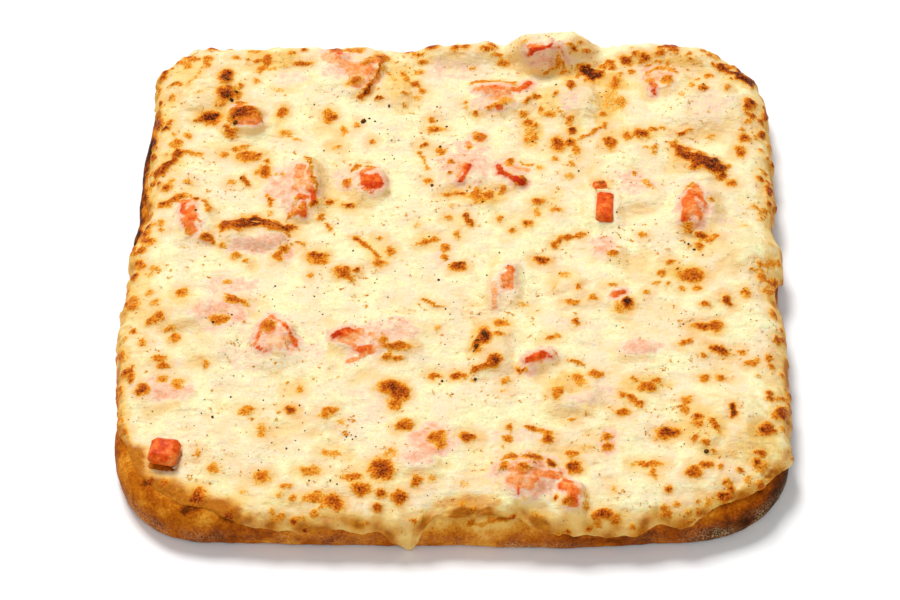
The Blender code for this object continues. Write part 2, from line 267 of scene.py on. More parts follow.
def maths(tree, kind, first, second, third=0.0):
    sockets = {0: first, 1: second, 2: third}
    return add_node(tree, "ShaderNodeMath", sockets, operation=kind).outputs[0]


def spread_between(tree, value, low, high):
    """0 up to low, 1 from high, and a smooth step between."""
    sockets = {"Value": value, "From Min": low, "From Max": high}
    kind = "SMOOTHSTEP"
    return add_node(tree, "ShaderNodeMapRange", sockets, interpolation_type=kind).outputs[0]


def mixed(tree, share, first, second, kind="MIX"):
    sockets = {0: share, 6: first, 7: second}
    return add_node(tree, "ShaderNodeMix", sockets, data_type="RGBA", blend_type=kind).outputs[2]


def centred(tree, place, scale, detail, roughness=0.6):
    """Uneven values between -0.5 and 0.5."""
    return maths(tree, "SUBTRACT", speckle(tree, place, scale, detail, roughness), 0.5)


def ramp(tree, value, *stops):
    made = add_node(tree, "ShaderNodeValToRGB", {0: value})
    bands = made.color_ramp.elements
    for place, _ in stops[1:-1]:
        bands.new(place)
    for band, (place, colour) in zip(bands, stops):
        band.position = place
        band.color = colour
    bands[-1].position, bands[-1].color = stops[-1]
    return made.outputs[0]


def field(tree, name):
    return add_node(tree, "ShaderNodeAttribute", attribute_name=name).outputs["Fac"]


def new_material(name, roughness, coat, glow, glow_radius):
    """A food surface: its name, tree and shader, with light that sinks in and spreads."""
    material = bpy.data.materials.new(name)
    material.use_nodes = True
    tree = material.node_tree
    shader = tree.nodes["Principled BSDF"]
    shader.inputs["Roughness"].default_value = roughness
    shader.inputs["Coat Weight"].default_value = coat
    shader.inputs["Coat Roughness"].default_value = 0.3
    shader.inputs["Specular IOR Level"].default_value = 0.08
    shader.inputs["Subsurface Weight"].default_value = glow
    shader.inputs["Subsurface Radius"].default_value = glow_radius
    shader.inputs["Subsurface Scale"].default_value = 1.0
    return material, tree, shader


def bumped(tree, height, distance):
    sockets = {"Height": height, "Distance": distance, "Strength": 1.0}
    return add_node(tree, "ShaderNodeBump", sockets).outputs["Normal"]


shape = bmesh.new()
bmesh.ops.create_grid(shape, x_segments=BREAD_STEPS, y_segments=BREAD_RINGS, size=1.0)
flat = np.array([vert.co[:2] for vert in shape.verts])
bread_bearing = flat[:, 0] * math.pi
bread_share = (1 - flat[:, 1]) / 2
skin = side_points(bread_bearing, bread_share, np.zeros(len(flat)))
worn = np.clip(bread_share * 6, 0, 1) * np.clip((1 - bread_share) * 10, 0, 1)
dents = layered(skin, (0.5, 15, 1), (0.28, 5, 2), (0.12, 1.8, 3))
skin = side_points(bread_bearing, bread_share, (dents - 0.35) * MM * worn)
for vert, point in zip(shape.verts, skin.tolist()):
    vert.co = point
bmesh.ops.remove_doubles(shape, verts=shape.verts, dist=MERGE_WITHIN)
bmesh.ops.holes_fill(shape, edges=[edge for edge in shape.edges if edge.is_boundary])
mesh = finished_mesh("bread", shape)
write_points(mesh, read_points(mesh))
skin = read_points(mesh)
degrees = np.degrees(np.arctan2(skin[:, 1], skin[:, 0]))
height = skin[:, 2] / MM
# Bearing in degrees, how dark the side is: darkest at the front right corner and palest in
# the middle of the front
BAKED = (
    (-180, 0.74), (-160, 0.68), (-150, 0.62), (-140, 0.58), (-128, 0.62), (-120, 0.60),
    (-110, 0.56), (-90, 0.36), (-70, 0.60), (-55, 0.76), (-45, 0.90), (-35, 0.98),
    (-20, 0.90), (0, 0.76), (45, 0.70), (90, 0.66), (135, 0.72), (180, 0.72),
)
bake = np.interp(degrees, *zip(*BAKED))
# The belly touched the tin and browned more; under the cheese the dough stayed paler, but
# less so at the bare corner; the edge of the foot is darkest
bake = bake + 0.14 * np.exp(-(((height - 6.0) / 4.0) ** 2)) - 0.08
bare_side = np.exp(-(((degrees - BARE_BEARING) / 20) ** 4))
bake = bake - (0.22 - 0.16 * bare_side) * eased(height, 9.0, 14.0)
bake = bake + 0.3 * (1 - eased(height, 0.3, 2.2))
bake = bake + layered(skin, (0.20, 13, 4), (0.12, 4, 5))
write_field(mesh, "bake", bake)
# Flour left on the foot: bearing, spread in degrees, amount
FLOURED = (
    (-150, 16, 0.9), (-98, 40, 0.2), (-77, 5, 0.8), (-47, 5, 0.9), (-30, 25, 0.3), (160, 60, 0.3),
)
flour = sum(
    amount * np.exp(-((wrapped(degrees - centre) / spread) ** 2))
    for centre, spread, amount in FLOURED
)
flour = np.clip(flour, 0, 1) * (1 - eased(height, 4.0, 12.5))
flour = flour * eased(lumps(skin, 9 * MM, 6), -0.5, 0.3)
write_field(mesh, "flour", flour)

glow_radius = (2.2 * MM, 1.0 * MM, 0.4 * MM)
material, tree, shader = new_material("baked_bread", 0.72, 0.0, 0.04, glow_radius)
shader.inputs["Specular IOR Level"].default_value = 0.05
place = add_node(tree, "ShaderNodeTexCoord").outputs["Object"]
mottle = centred(tree, place, 190.0, 5.0, 0.65)
grain = centred(tree, place, 900.0, 3.0)
heat = maths(tree, "MULTIPLY_ADD", grain, 0.5, field(tree, "bake"))
heat = maths(tree, "MULTIPLY_ADD", mottle, 0.6, heat)
heat = maths(tree, "MULTIPLY_ADD", field(tree, "toast"), 0.5, heat)
crumb = ramp(
    tree, heat,
    (0.10, paint(242, 190, 96)), (0.30, paint(226, 152, 46)), (0.46, paint(200, 112, 12)),
    (0.62, paint(166, 78, 2)), (0.78, paint(116, 50, 0)), (1.0, paint(56, 24, 2)),
)
dusty = spread_between(tree, speckle(tree, place, 1500.0, 2.0), 0.47, 0.60)
dust = maths(tree, "MULTIPLY", maths(tree, "MULTIPLY_ADD", dusty, 0.8, 0.03), field(tree, "flour"))
tree.links.new(mixed(tree, dust, crumb, paint(240, 208, 152)), shader.inputs["Base Color"])
relief = maths(tree, "MULTIPLY_ADD", grain, 0.6, mottle)
tree.links.new(bumped(tree, relief, 0.9 * MM), shader.inputs["Normal"])
bread = new_piece("bread", mesh, material, "baked_bread", "crust")

# The cheese: grated, melted over the whole square and set, so it drapes over the chicken
# and tomato under it, thins over the shoulder and hangs down the side in uneven lobes with
# a rounded edge. The oven browned it in hundreds of spots.
PLATEAU_Z = 21.0 * MM
PLATEAU_SLOPE = 0.011
RIM_FRONT = 2.0 * MM
RIM_BACK = 6.8 * MM
ROLL_LENGTH = 6.0 * MM
EDGE_THICK = 1.0 * MM
# Bearing in degrees, share of the side that the cheese runs down
EDGE_DROPS = (
    (-180, 0.42), (-165, 0.46), (-152, 0.44), (-146, 0.28), (-142, 0.08), (-130, 0.01),
    (-123, 0.06), (-120, 0.30), (-112, 0.42), (-107, 0.33), (-103, 0.40), (-100, 0.37),
    (-98.5, 0.50), (-97.4, 0.56), (-96.6, 0.62), (-95.9, 0.76), (-95.4, 0.80), (-94.8, 0.60),
    (-93.2, 0.34), (-91.2, 0.16), (-79, 0.10), (-73.5, 0.38), (-61, 0.43),
    (-58, 0.28), (-55.5, 0.40), (-50, 0.10), (-40, 0.16), (-35, 0.42), (-12, 0.46),
    (-7, 0.22), (-2, 0.26), (2, 0.46), (30, 0.50), (60, 0.42), (90, 0.38), (120, 0.44),
    (142, 0.42), (147, 0.14), (173, 0.12), (177, 0.36), (180, 0.42),
)
# Lumps under the cheese: x, y, length, width, turn, height
MOUNDS = (
    (-103, 96, 25, 24, 10, 4.5), (101, 94, 34, 32, 0, 4), (46, 96, 22, 24, 0, 3.5),
    (-45, 111, 30, 32, -20, 4), (-27, 99, 16, 18, 0, 3), (0, 128, 42, 20, 0, 5.2),
    (37, 136, 38, 22, 0, 12.5), (88, 130, 46, 22, -8, 5.4), (-68, 121, 24, 14, 8, 2.4),
    (84, 107, 22, 20, 0, 3.5), (17, 97, 30, 20, 0, 3.5), (3, 52, 26, 22, 0, 3),
    (20, 49, 16, 16, 0, 2.5), (10, 37, 18, 12, -10, 2), (58, 37, 18, 26, 0, 3),
    (73, 42, 20, 18, 0, 2.5), (94, 34, 22, 30, 0, 4), (110, 15, 26, 26, 0, 3),
    (95, 60, 24, 14, -35, 2.5), (-34, 44, 18, 20, 0, 3), (-60, 44, 18, 34, 0, 4),
    (-78, 16, 26, 14, 0, 3.5), (-101, 22, 18, 24, 0, 3.5), (-87, 80, 20, 22, 0, 3.5),
    (-100, -25, 28, 18, 0, 3.5), (-90, -44, 20, 16, 0, 2.5), (-87, -28, 24, 24, 0, 2.5),
    (-66, -40, 22, 28, 0, 3), (-39, -39, 16, 16, 0, 2.5), (-21, -35, 26, 22, -20, 2.5),
    (15, -42, 18, 26, 0, 3.5), (34, -47, 18, 10, 35, 2.5), (20, -8, 14, 26, 0, 3),
    (45, -65, 24, 16, 0, 3), (44, -9, 14, 14, 0, 2), (60, 9, 14, 14, 0, 2),
    (68, -41, 18, 12, 0, 2), (100, -74, 32, 34, 0, 3.5), (-104, -67, 24, 14, 0, 3),
    (27, -104, 24, 24, 0, 3), (45, -112, 12, 16, 0, 2.5), (-10, -97, 18, 14, 0, 2),
)
MOUND_REACH = 1.2
MOUND_SLOPE = 0.75
MOUND_HEAP = 0.25
MOUND_AT_RIM = 0.85
# Tomato: name, x, y, length, width, turn, height over the cheese, and how much melted
# cheese films it
TOMATOES = (
    ("corner_cube", -101.0, -94.8, 11.5, 11.0, -8, 2.6, 0.0),
    ("front_slice", 27.0, -105.4, 13.5, 18.0, 12, 1.4, 0.7),
    ("front_corner", 38.8, -103.5, 6.0, 5.0, 20, 0.9, 0.35),
    ("front_lobe", 45.5, -112.0, 6.0, 9.5, 5, 1.2, 0.4),
    ("left_wedge", -65.5, -38.5, 12.5, 17.0, -14, 1.4, 0.45),
    ("centre_chip", -41.0, -36.5, 7.5, 7.5, 8, 1.2, 0.15),
    ("centre_square", -31.7, -44.0, 5.5, 5.5, 15, 0.9, 0.5),
    ("middle_strip", 21.4, -3.0, 4.5, 12.0, -14, 1.4, 0.35),
    ("middle_sliver", 16.2, -16.0, 3.0, 14.0, -6, 1.0, 0.5),
    ("arched_strip", 32.5, -46.5, 12.0, 5.0, 33, 1.2, 0.25),
    ("right_chip", 63.2, -12.9, 5.5, 4.5, 10, 1.0, 0.4),
    ("left_strip", -102.8, 25.5, 7.5, 14.5, 14, 1.3, 0.4),
    ("left_chip", -95.4, 13.0, 4.5, 4.5, 25, 1.0, 0.4),
    ("long_slice", -57.4, 49.0, 7.0, 20.0, 9, 1.6, 0.55),
    ("lower_slice", -60.2, 29.0, 7.0, 9.0, 6, 1.2, 0.45),
    ("round_dice", -33.0, 46.8, 10.5, 14.5, 10, 1.6, 0.3),
    ("dice_chip", -42.2, 44.0, 4.5, 5.0, 0, 1.0, 0.4),
    ("roasted_dice", -85.5, 82.2, 12.0, 13.5, 12, 1.8, 0.35),
    ("back_slice", -38.0, 110.0, 9.0, 20.0, -17, 1.6, 0.6),
    ("back_shred", -51.5, 120.5, 8.0, 6.0, -35, 1.2, 0.6),
    ("arc_slice", 15.0, 101.5, 16.0, 6.5, 2, 1.2, 0.55),
    ("arc_corner", 27.0, 102.0, 5.5, 7.0, 8, 1.2, 0.4),
    ("small_dice", 16.4, 90.0, 4.5, 5.0, 10, 0.9, 0.6),
    ("rim_dice", 33.0, 128.5, 9.5, 9.5, 20, 2.2, 0.5),
    ("orange_dice", 8.8, 71.2, 5.5, 6.5, 0, 1.2, 0.6),
    ("thin_strip", 3.3, 51.5, 3.0, 11.0, -11, 0.9, 0.4),
    ("hook_strip", 21.8, 51.0, 4.5, 13.0, 50, 1.2, 0.35),
    ("bright_dice", 58.6, 35.2, 7.2, 15.0, -4, 1.8, 0.0),
    ("bright_cap", 56.8, 46.8, 6.0, 4.2, 14, 1.4, 0.05),
    ("right_wedge", 93.0, 35.5, 8.0, 19.0, -8, 1.5, 0.45),
    ("rim_strip", 78.6, 104.0, 3.6, 7.5, -6, 1.0, 0.35),
    ("rim_round", 85.3, 108.0, 5.0, 6.0, 15, 1.0, 0.5),
)
# Browned spots: x, y, length, width, and tone from 2 faint gold to 9 black
SPOTS = (
    (-111.6, -67.6, 5.5, 6, 8), (-99, -64, 4, 5, 5), (-105, -62, 4, 3, 5), (-66.5, -86, 4, 7, 5),
    (-88.5, -98, 2.5, 4, 5), (-82.4, -104.6, 3.5, 6, 5), (-64.6, -108, 7, 6, 6),
    (-71, -115, 3, 2, 3), (-87, -118.4, 6, 11, 7.5), (-75, -126, 5, 4, 8), (-99, -112, 5, 4, 6),
    (-105, -111, 1.8, 4, 8), (-90, -124, 3, 3, 6), (-118, -83, 2, 4, 6), (-116, -88, 1.5, 3, 6),
    (-54, -65.4, 3, 5, 5), (-57, -76, 4, 3, 8.5), (-38, -82, 5, 4, 3), (-21, -64, 11, 7, 7.5),
    (-17.5, -67.5, 8, 8, 7.5), (-19, -72, 5, 7, 6), (-3.3, -88, 7, 6, 7), (-1.7, -92, 3, 4, 6.5),
    (-40.5, -96, 9, 3, 4.5), (-48, -105, 10, 5, 5), (-56.4, -112.8, 2.5, 2.5, 6),
    (-32.8, -107, 7, 4, 7), (-29, -113, 6, 7, 7), (-22.5, -103.5, 9, 11, 8), (-19.4, -96, 6, 5, 4),
    (-10, -108.4, 4, 6, 7), (-4.4, -107.6, 3, 4, 4), (-15.8, -116, 5, 7, 7), (-45.6, -117, 8, 6, 6),
    (-58, -127, 6, 6, 5), (-49, -127, 5, 4, 4), (-29, -129, 8, 4, 5), (-10.6, -127, 3, 3, 7),
    (40, -65, 5, 7, 6), (48.7, -60, 4, 4, 5), (45, -78, 3, 1.2, 5), (22.8, -83, 2, 4, 6),
    (22, -88, 4, 3, 6), (36.7, -88, 4, 5, 7), (8, -87.3, 7, 3.5, 7.5), (31, -96.5, 7, 3, 7),
    (37.8, -99, 3.5, 3.5, 8.5), (23, -97, 5, 4, 6.5), (21, -102, 2.5, 3, 6),
    (27.8, -103, 3.5, 5, 6.5), (44, -117, 4, 3, 7), (46, -100, 5, 7, 8), (45, -94, 4, 3, 6),
    (58, -91, 4, 3, 7), (50, -92, 5, 4, 3), (6.7, -110, 3, 3, 3), (60, -111, 2, 4, 4),
    (56, -122, 8, 6, 7), (53.7, -127, 4, 4, 5), (32.6, -124, 3, 4, 5), (7, -119, 4, 4, 5),
    (10, -122, 4, 3, 6), (21, -60, 3, 3, 5), (21, -65, 4, 3, 3), (64, -74, 5, 3, 6),
    (72.6, -62, 7, 4, 6.5), (87, -68.5, 4, 3, 6.5), (86.5, -72, 3, 3, 6), (91, -75, 3.5, 3, 7),
    (90.7, -78.4, 4, 3, 6), (89.3, -86, 2.5, 2.5, 6), (93, -87.6, 2, 3.5, 6), (95.7, -91, 2, 2, 6),
    (115.4, -81, 5, 6.5, 8.5), (120.7, -73, 5, 5, 7.5), (121.5, -66, 3, 2, 6),
    (72, -98.7, 12, 3, 6.5), (74.3, -103, 2.5, 4, 6), (88.4, -102, 5, 6, 7), (93, -98.4, 5, 3, 7),
    (98, -99, 2, 2, 6), (111, -92, 3, 3, 5), (99.8, -106, 2, 3, 6), (107.6, -105, 3, 3, 5),
    (98.4, -113, 6, 4.5, 7.5), (81.8, -117, 3.5, 3.5, 5), (102.9, -92, 3, 3, 3),
    (-119.6, -3.7, 4, 6, 6.5), (-113.5, -5, 3, 2, 5), (-119.6, -24, 5, 9, 6), (-102, -18, 5, 4, 6),
    (-118, -39, 2.5, 2.5, 6), (-104.6, -37, 4, 3, 6), (-102, -41.7, 4, 5, 6),
    (-113.8, -44.5, 1.5, 4, 6), (-121, -51.7, 4, 5, 6.5), (-107, -53, 5, 3, 6),
    (-105, -56, 4, 2, 6), (-116.4, -58, 1.3, 6, 6), (-89.6, -54, 3, 4, 5),
    (-86.6, -31.4, 8, 4.5, 6.5), (-85.4, -12.3, 2, 2, 5), (-68, -36, 5, 7, 6.5), (-83, 2, 3, 3, 5),
    (-79, -0.6, 2, 2, 5), (-67, 2, 3, 3, 5), (-51.7, 0.8, 8, 6, 6), (-53.6, -7.6, 2, 3, 5),
    (-42, -6.4, 7, 6, 7.5), (-36, -5.2, 2, 2, 8), (-28, -1, 5, 4, 6), (-5, -34, 2.5, 4, 3.5),
    (-24.7, -40, 3, 4, 6), (-19, -43, 11, 4, 6.5), (-22.8, -48.7, 4, 4, 6), (-19, -49.5, 3, 2, 6),
    (-5, -58, 5, 2.5, 7), (2.3, -1.7, 6.5, 5, 8), (34, 2, 6, 3, 7), (47.8, -11, 1.5, 3, 6),
    (39, -11, 1.5, 4, 4), (43, -4.5, 5, 1.5, 4), (45.6, -19.5, 6, 2.5, 6), (53, -17.6, 4, 2, 6),
    (27, -21, 5, 3, 3), (46.7, -29.5, 2, 3.5, 6), (37.3, -38, 3, 2, 6), (40.3, -37, 2, 2, 5),
    (12.4, -37, 5, 9, 8.5), (10.2, -43, 3, 6, 8), (19, -31.4, 6, 3.5, 6.5),
    (18, -36.4, 5, 3, 6), (16.4, -49.8, 5, 7, 8),
    (3.7, -58, 7, 4, 7), (21, -59.5, 3, 3, 5), (25.6, -54.5, 2, 2, 7.5), (28.2, -53.8, 1.2, 1.2, 8),
    (53.7, -56, 5, 3, 6), (47.3, -58, 5, 3.5, 6), (66.5, -19.8, 4, 6, 9.5), (63.7, -22, 6, 8, 4.5),
    (61, -10.8, 5, 2, 6), (73.7, -13.8, 1.5, 1.5, 6), (79.6, -2.8, 2.5, 2.5, 6),
    (77.3, -7.8, 2, 2, 5), (81.7, -9, 2, 2, 5), (85.8, -0.4, 1.8, 1.8, 6), (86.9, -10.9, 2, 2, 5),
    (91, -4, 12, 6, 7), (92.6, -10.3, 3, 3, 6), (96, -19, 2.5, 2.5, 6), (111, -13, 2.5, 5, 6),
    (120, -11.4, 4, 4, 6), (94.6, -29.8, 12, 3, 7), (99, -30, 5, 6, 7), (93.8, -45, 2, 2, 6),
    (108, -43, 2, 2, 6), (118.3, -46, 2.5, 3, 7), (122, -36.7, 1.5, 4, 7), (111.5, -49, 4.5, 2, 6),
    (72.9, -61, 7, 5, 6.5), (68, -58, 4, 2, 6), (76, -58, 3, 2, 6), (94, -57, 4, 4, 6),
    (99.3, -56, 3, 2, 6), (-121.8, 5, 1.2, 10, 7), (-119.6, 55.5, 1.7, 5.5, 8),
    (-111.8, 63, 3, 5, 5), (-92.4, 58.6, 3.5, 3, 6), (-88, 62, 3, 2.5, 6), (-85, 63, 3, 2.5, 6),
    (-82.7, 57.5, 11, 7, 6.5), (-78.5, 59, 3, 1.5, 8), (-75, 55, 2, 2, 7), (-75.7, 48.3, 6, 8, 6.5),
    (-88.2, 42.2, 3, 4, 5), (-106, 42.8, 3.5, 1.5, 4), (-113.8, 29.7, 3, 2.5, 8),
    (-119.6, 37.8, 1.5, 1.5, 6), (-120.4, 32.8, 2, 6, 8), (-102.2, 15, 2.5, 3, 5),
    (-95.5, 12, 4, 3.5, 8), (-117.4, 8.7, 5, 4, 7), (-116.5, 18.3, 2, 2, 4), (-113.2, 16, 1, 3, 5),
    (-121, 13, 3, 5, 9), (-122, 20.5, 2, 6, 6), (-73.8, 35.6, 2, 2, 5), (-71.8, 26, 3, 3, 3),
    (-82.7, 18.3, 5, 3, 8.5), (-88.8, 7.5, 4, 3, 5), (-83.2, 2.2, 3.5, 3, 4.5),
    (-64.6, 6, 4, 4, 6.5), (-66.6, 2.2, 4, 5, 6), (-62.4, 18.3, 1, 2, 6), (-55.3, 32, 2, 4, 7.5),
    (-60.8, 35.3, 3, 3, 5.5), (-58.9, 27.2, 3, 8, 5.5), (-48.9, 32.8, 2.5, 3, 7.5),
    (-48.9, 32.8, 12, 8, 2.4), (-41.4, 31, 3.5, 2, 8), (-41.4, 31, 10, 8, 2.4),
    (-42.2, 43.5, 3.5, 4, 6), (-52, 24, 2, 4, 6), (-52, 3.3, 7, 4, 7.5), (-28.3, 13, 2.5, 1, 6),
    (-23.9, 6, 3.5, 5, 6), (-14.4, 20.8, 3, 3, 3), (-10.5, 12, 3, 4, 6.5), (-7.2, 13, 3, 2, 6),
    (-13.3, 10, 2, 2, 5), (-3.3, 8.6, 3.5, 4, 6.5), (-2.8, 3.3, 3, 4, 6), (1, -1.4, 3, 3, 8),
    (-2.2, 25, 3, 4, 6), (1.4, 16, 1.2, 6, 5), (-1.1, 31.7, 3, 2, 3), (1.1, 39.2, 4, 1.5, 8),
    (-10.8, 45.5, 2.5, 2.5, 6), (-3.6, 38.3, 4, 2, 6), (-2.2, 56.4, 2.5, 1.5, 7),
    (-2.5, 50.5, 1.5, 1.5, 6), (-6.7, 62, 3, 4, 6), (10, 37, 14, 7, 4.5), (2, 39.2, 4, 1.5, 7),
    (8.5, 39, 5, 6, 6.5), (13, 38.5, 4, 5, 6.5), (25.3, 45.8, 4, 4, 6.5), (21, 57.2, 3.5, 4, 6),
    (32.5, 54, 2.5, 2.5, 4), (32.8, 35, 5.5, 5, 6), (32, 29, 1.8, 5, 5), (39.2, 30.3, 4, 3.5, 6),
    (28.7, 22.8, 3.5, 4, 7), (17.8, 25, 2, 3, 5), (22.8, 19, 1.5, 2, 6), (49.2, 16.7, 2, 2, 6),
    (33.7, 2.8, 7, 3.5, 7.5), (45, 50, 4, 3, 4), (45.9, 56.7, 1.5, 4, 5), (47.5, 64.1, 2.5, 5, 6),
    (39, 59.5, 2.5, 3, 5), (57.3, 46.4, 4, 2, 8), (61.2, 7.5, 3.5, 4, 6), (102, 59, 5, 4, 9),
    (108.4, 47.2, 4.5, 5, 6), (112.6, 66, 4.5, 7, 6.5), (122.6, 61.7, 1.2, 3, 6),
    (125.4, 57.8, 1.5, 7, 8), (122.6, 44, 2, 8, 8), (100, 38.3, 3, 3, 6), (90.7, 21.7, 4, 6, 6),
    (95.7, 17.8, 4.5, 4, 8), (98.7, 15.6, 2, 2, 6), (101.2, 17.8, 3, 2, 6), (94.5, 11.7, 2, 6, 6),
    (70.4, 51.7, 1.5, 2, 5), (82.9, 3.3, 4, 2, 6), (92.3, -1.1, 2, 2, 6), (119.8, 2.5, 2, 2, 5),
    (72.9, 17, 2, 2, 5), (-110.2, 115.8, 6, 3, 6.5), (-111.8, 112.4, 3, 5, 5),
    (-116, 113.3, 1.8, 3, 8), (-116.3, 91.6, 3, 4, 6), (-95.5, 105.5, 6, 9, 8.5),
    (-94.6, 95.0, 8, 10, 8.5), (-89.3, 99.7, 2, 3, 6), (-89.6, 94, 3, 6, 5.5), (-95.4, 89, 2, 2, 6),
    (-97.7, 88.6, 2, 4, 5), (-99.7, 80, 10, 8, 8.5), (-103.8, 78, 5, 2, 6.5), (-88.2, 89.1, 5, 2, 7),
    (-87, 81.5, 13, 11, 8), (-79.9, 79.7, 2, 7, 5.5), (-83.2, 115, 4, 1.2, 6),
    (-81.6, 110.8, 3.5, 3.5, 6), (-76.8, 110.8, 3, 2, 4.5), (-72.1, 111.9, 3, 1.2, 6),
    (-69.3, 119.7, 4, 2.5, 6), (-65.4, 113.8, 8, 2.5, 7.5), (-92, 117.5, 5, 2, 5),
    (-84.3, 121, 5, 1.5, 5), (-83, 103, 2, 3, 5), (-71, 83.6, 4, 8, 6.5), (-68.8, 70.8, 5, 4, 5.5),
    (-108.2, 69, 2.5, 3, 5), (-113.2, 69, 1.5, 4, 5), (-119.9, 75.2, 4, 8, 8),
    (-115.2, 76.9, 2, 4, 6), (-120.7, 64, 4, 9, 9), (-111.6, 64, 4, 6, 5.5), (-73.2, 97.4, 6, 3, 3),
    (-55.6, 125.2, 3, 2, 6), (-43.9, 123, 10, 3, 5.5), (-33.9, 118, 5, 6, 6),
    (-38.9, 114.1, 6, 3.5, 6), (-37.2, 118, 4, 2, 6), (-42.8, 103, 6, 5, 6.5),
    (-37.8, 97.4, 2.5, 5, 8.5), (-39.2, 94.4, 2, 3, 8), (-40.6, 77.4, 2, 3, 5),
    (-18.3, 102.4, 3.5, 3, 7), (-15, 99, 3, 3, 6), (-18, 120.8, 4, 2.5, 6),
    (-15, 116.9, 3.5, 3, 6.5), (-16.7, 110, 5, 3, 4.5), (-11.7, 126.3, 6, 3.5, 8),
    (-1.7, 126, 4, 2, 6), (-23.9, 122.7, 3, 1.5, 5), (-18.9, 124.1, 4, 1, 5), (-17, 94.7, 5, 2, 4),
    (-21.7, 89.7, 2, 4, 5), (-21.7, 97.4, 2, 2, 6), (-52.2, 82.4, 6, 8, 5.5),
    (-50.8, 81.3, 3.5, 3, 8), (-45.8, 74, 2, 6, 5), (-47.2, 65, 4, 1.5, 5),
    (-33.9, 67.7, 1.5, 2.5, 6), (-10.6, 81.3, 2, 3, 7), (-8.9, 75.8, 7, 3, 6),
    (-12.5, 66, 2.5, 2.5, 7.5), (-14.3, 66, 1.2, 2, 6), (10.6, 124.7, 5, 2.5, 6.5),
    (15, 121.3, 4.5, 2.5, 6), (17.8, 117.2, 4.5, 4.5, 6.5), (5, 112.2, 3, 3, 4),
    (21.2, 122.4, 3, 2, 3), (27, 130.2, 3, 2, 5), (52, 125.2, 5, 2.5, 6.5), (49.5, 130.5, 3, 2, 6),
    (40.3, 122.4, 3, 4, 6), (43, 112.4, 3, 4, 6), (45.3, 103, 2.5, 6, 8), (48.7, 108.6, 1, 4, 5),
    (61.5, 96, 8, 24, 3.2), (58.7, 86.6, 2, 3, 6.5), (58.7, 80.2, 2.5, 2.5, 6.5),
    (58.7, 115.5, 3, 3, 6), (63.7, 105.8, 4, 8, 6), (45, 82.7, 2.5, 5, 6), (45.6, 76, 2.5, 3.5, 9),
    (39.5, 98.6, 2, 3, 6), (33.4, 88.6, 1.5, 3, 6), (33.7, 87, 3, 8, 4), (37.3, 85.8, 4, 3.5, 5.5),
    (26.4, 85.2, 3, 5, 6), (28.1, 80.2, 3, 3, 6.5), (31.2, 78.8, 2, 2.5, 6), (29.2, 73, 6, 14, 4.5),
    (30.9, 72.4, 2, 4, 6), (40.3, 67.4, 6, 9, 7.5), (45.3, 69.1, 4, 5, 7), (60.9, 70.2, 5.5, 9, 7),
    (19.2, 93, 6, 5, 4.5), (16.4, 90, 3.5, 4, 5.5), (12, 88.8, 1.5, 3, 6), (2.6, 91.9, 1.2, 2, 5),
    (7.6, 85.5, 1.2, 3, 6), (8.7, 70.2, 5, 6, 5.5), (5, 65, 2, 3, 5), (68.4, 119.7, 5.5, 6, 7.5),
    (76.2, 122.4, 5.5, 5, 8.5), (75.1, 118.6, 3, 2, 6), (72.9, 124, 2.5, 2.5, 6),
    (65.7, 111.6, 1.5, 2, 6), (70.4, 113, 2.5, 3, 6), (88.4, 126.3, 4, 2.5, 6.5),
    (82.9, 124.7, 4, 3, 6.5), (93.7, 124.4, 3.5, 1.5, 6), (94.6, 120.8, 4, 1.5, 6),
    (106.8, 123.6, 3, 1.2, 6), (102.3, 123.8, 3, 1.5, 6), (112.3, 116.3, 5, 1.5, 6),
    (78.4, 106.9, 4, 6, 5), (85.1, 108, 4.5, 6, 6.5), (99, 103.6, 3.5, 3.5, 6.5),
    (101.5, 110.8, 3, 3, 6), (97.1, 108.6, 2, 2, 5), (94.6, 105.2, 2, 3, 5),
    (109.3, 104.1, 2.5, 4, 6), (90.7, 99.7, 3, 3, 3), (117.6, 93, 5, 8, 8), (117.1, 83.6, 3, 3, 6),
    (123.7, 86.9, 2, 6, 8.5), (121.8, 75.8, 2, 5, 8), (119.6, 73.6, 1, 4, 4.5),
    (101.2, 73.8, 3.5, 4.5, 3.5), (89.6, 75.5, 4, 2, 7.5), (73.7, 75.2, 7, 6, 7),
    (78.4, 77.4, 3, 2, 6), (67.9, 74.1, 2.5, 6, 6), (82.3, 77.7, 2, 2, 5), (75.7, 66.9, 3, 2, 4),
    (65.4, 93.6, 5, 8, 4.5),
)
# The same with a turn in degrees before the tone
TURNED_SPOTS = (
    (-73, -77, 6, 4, 15, 5), (-43, -77, 8, 4, 30, 5.5), (-15.3, -83, 7, 5, 10, 7),
    (-38.6, -119, 9, 6, -45, 7.5), (57.6, -86, 5, 3, 60, 6), (97, -79, 7, 3, -60, 7),
    (79.6, -84, 9, 6, 20, 8), (-110, -30, 6, 3.5, 35, 6), (-112, -33, 6, 3.5, 35, 6),
    (-81, -22, 12, 3, -20, 6.5), (103.7, -17, 7, 3, -55, 8), (99.6, -42.3, 9.5, 3, -35, 8),
    (88, -38.4, 7, 1.5, 45, 6), (-103.8, 112.4, 4, 1.5, 45, 6), (-51.7, 122.4, 7, 4, -40, 7.5),
)
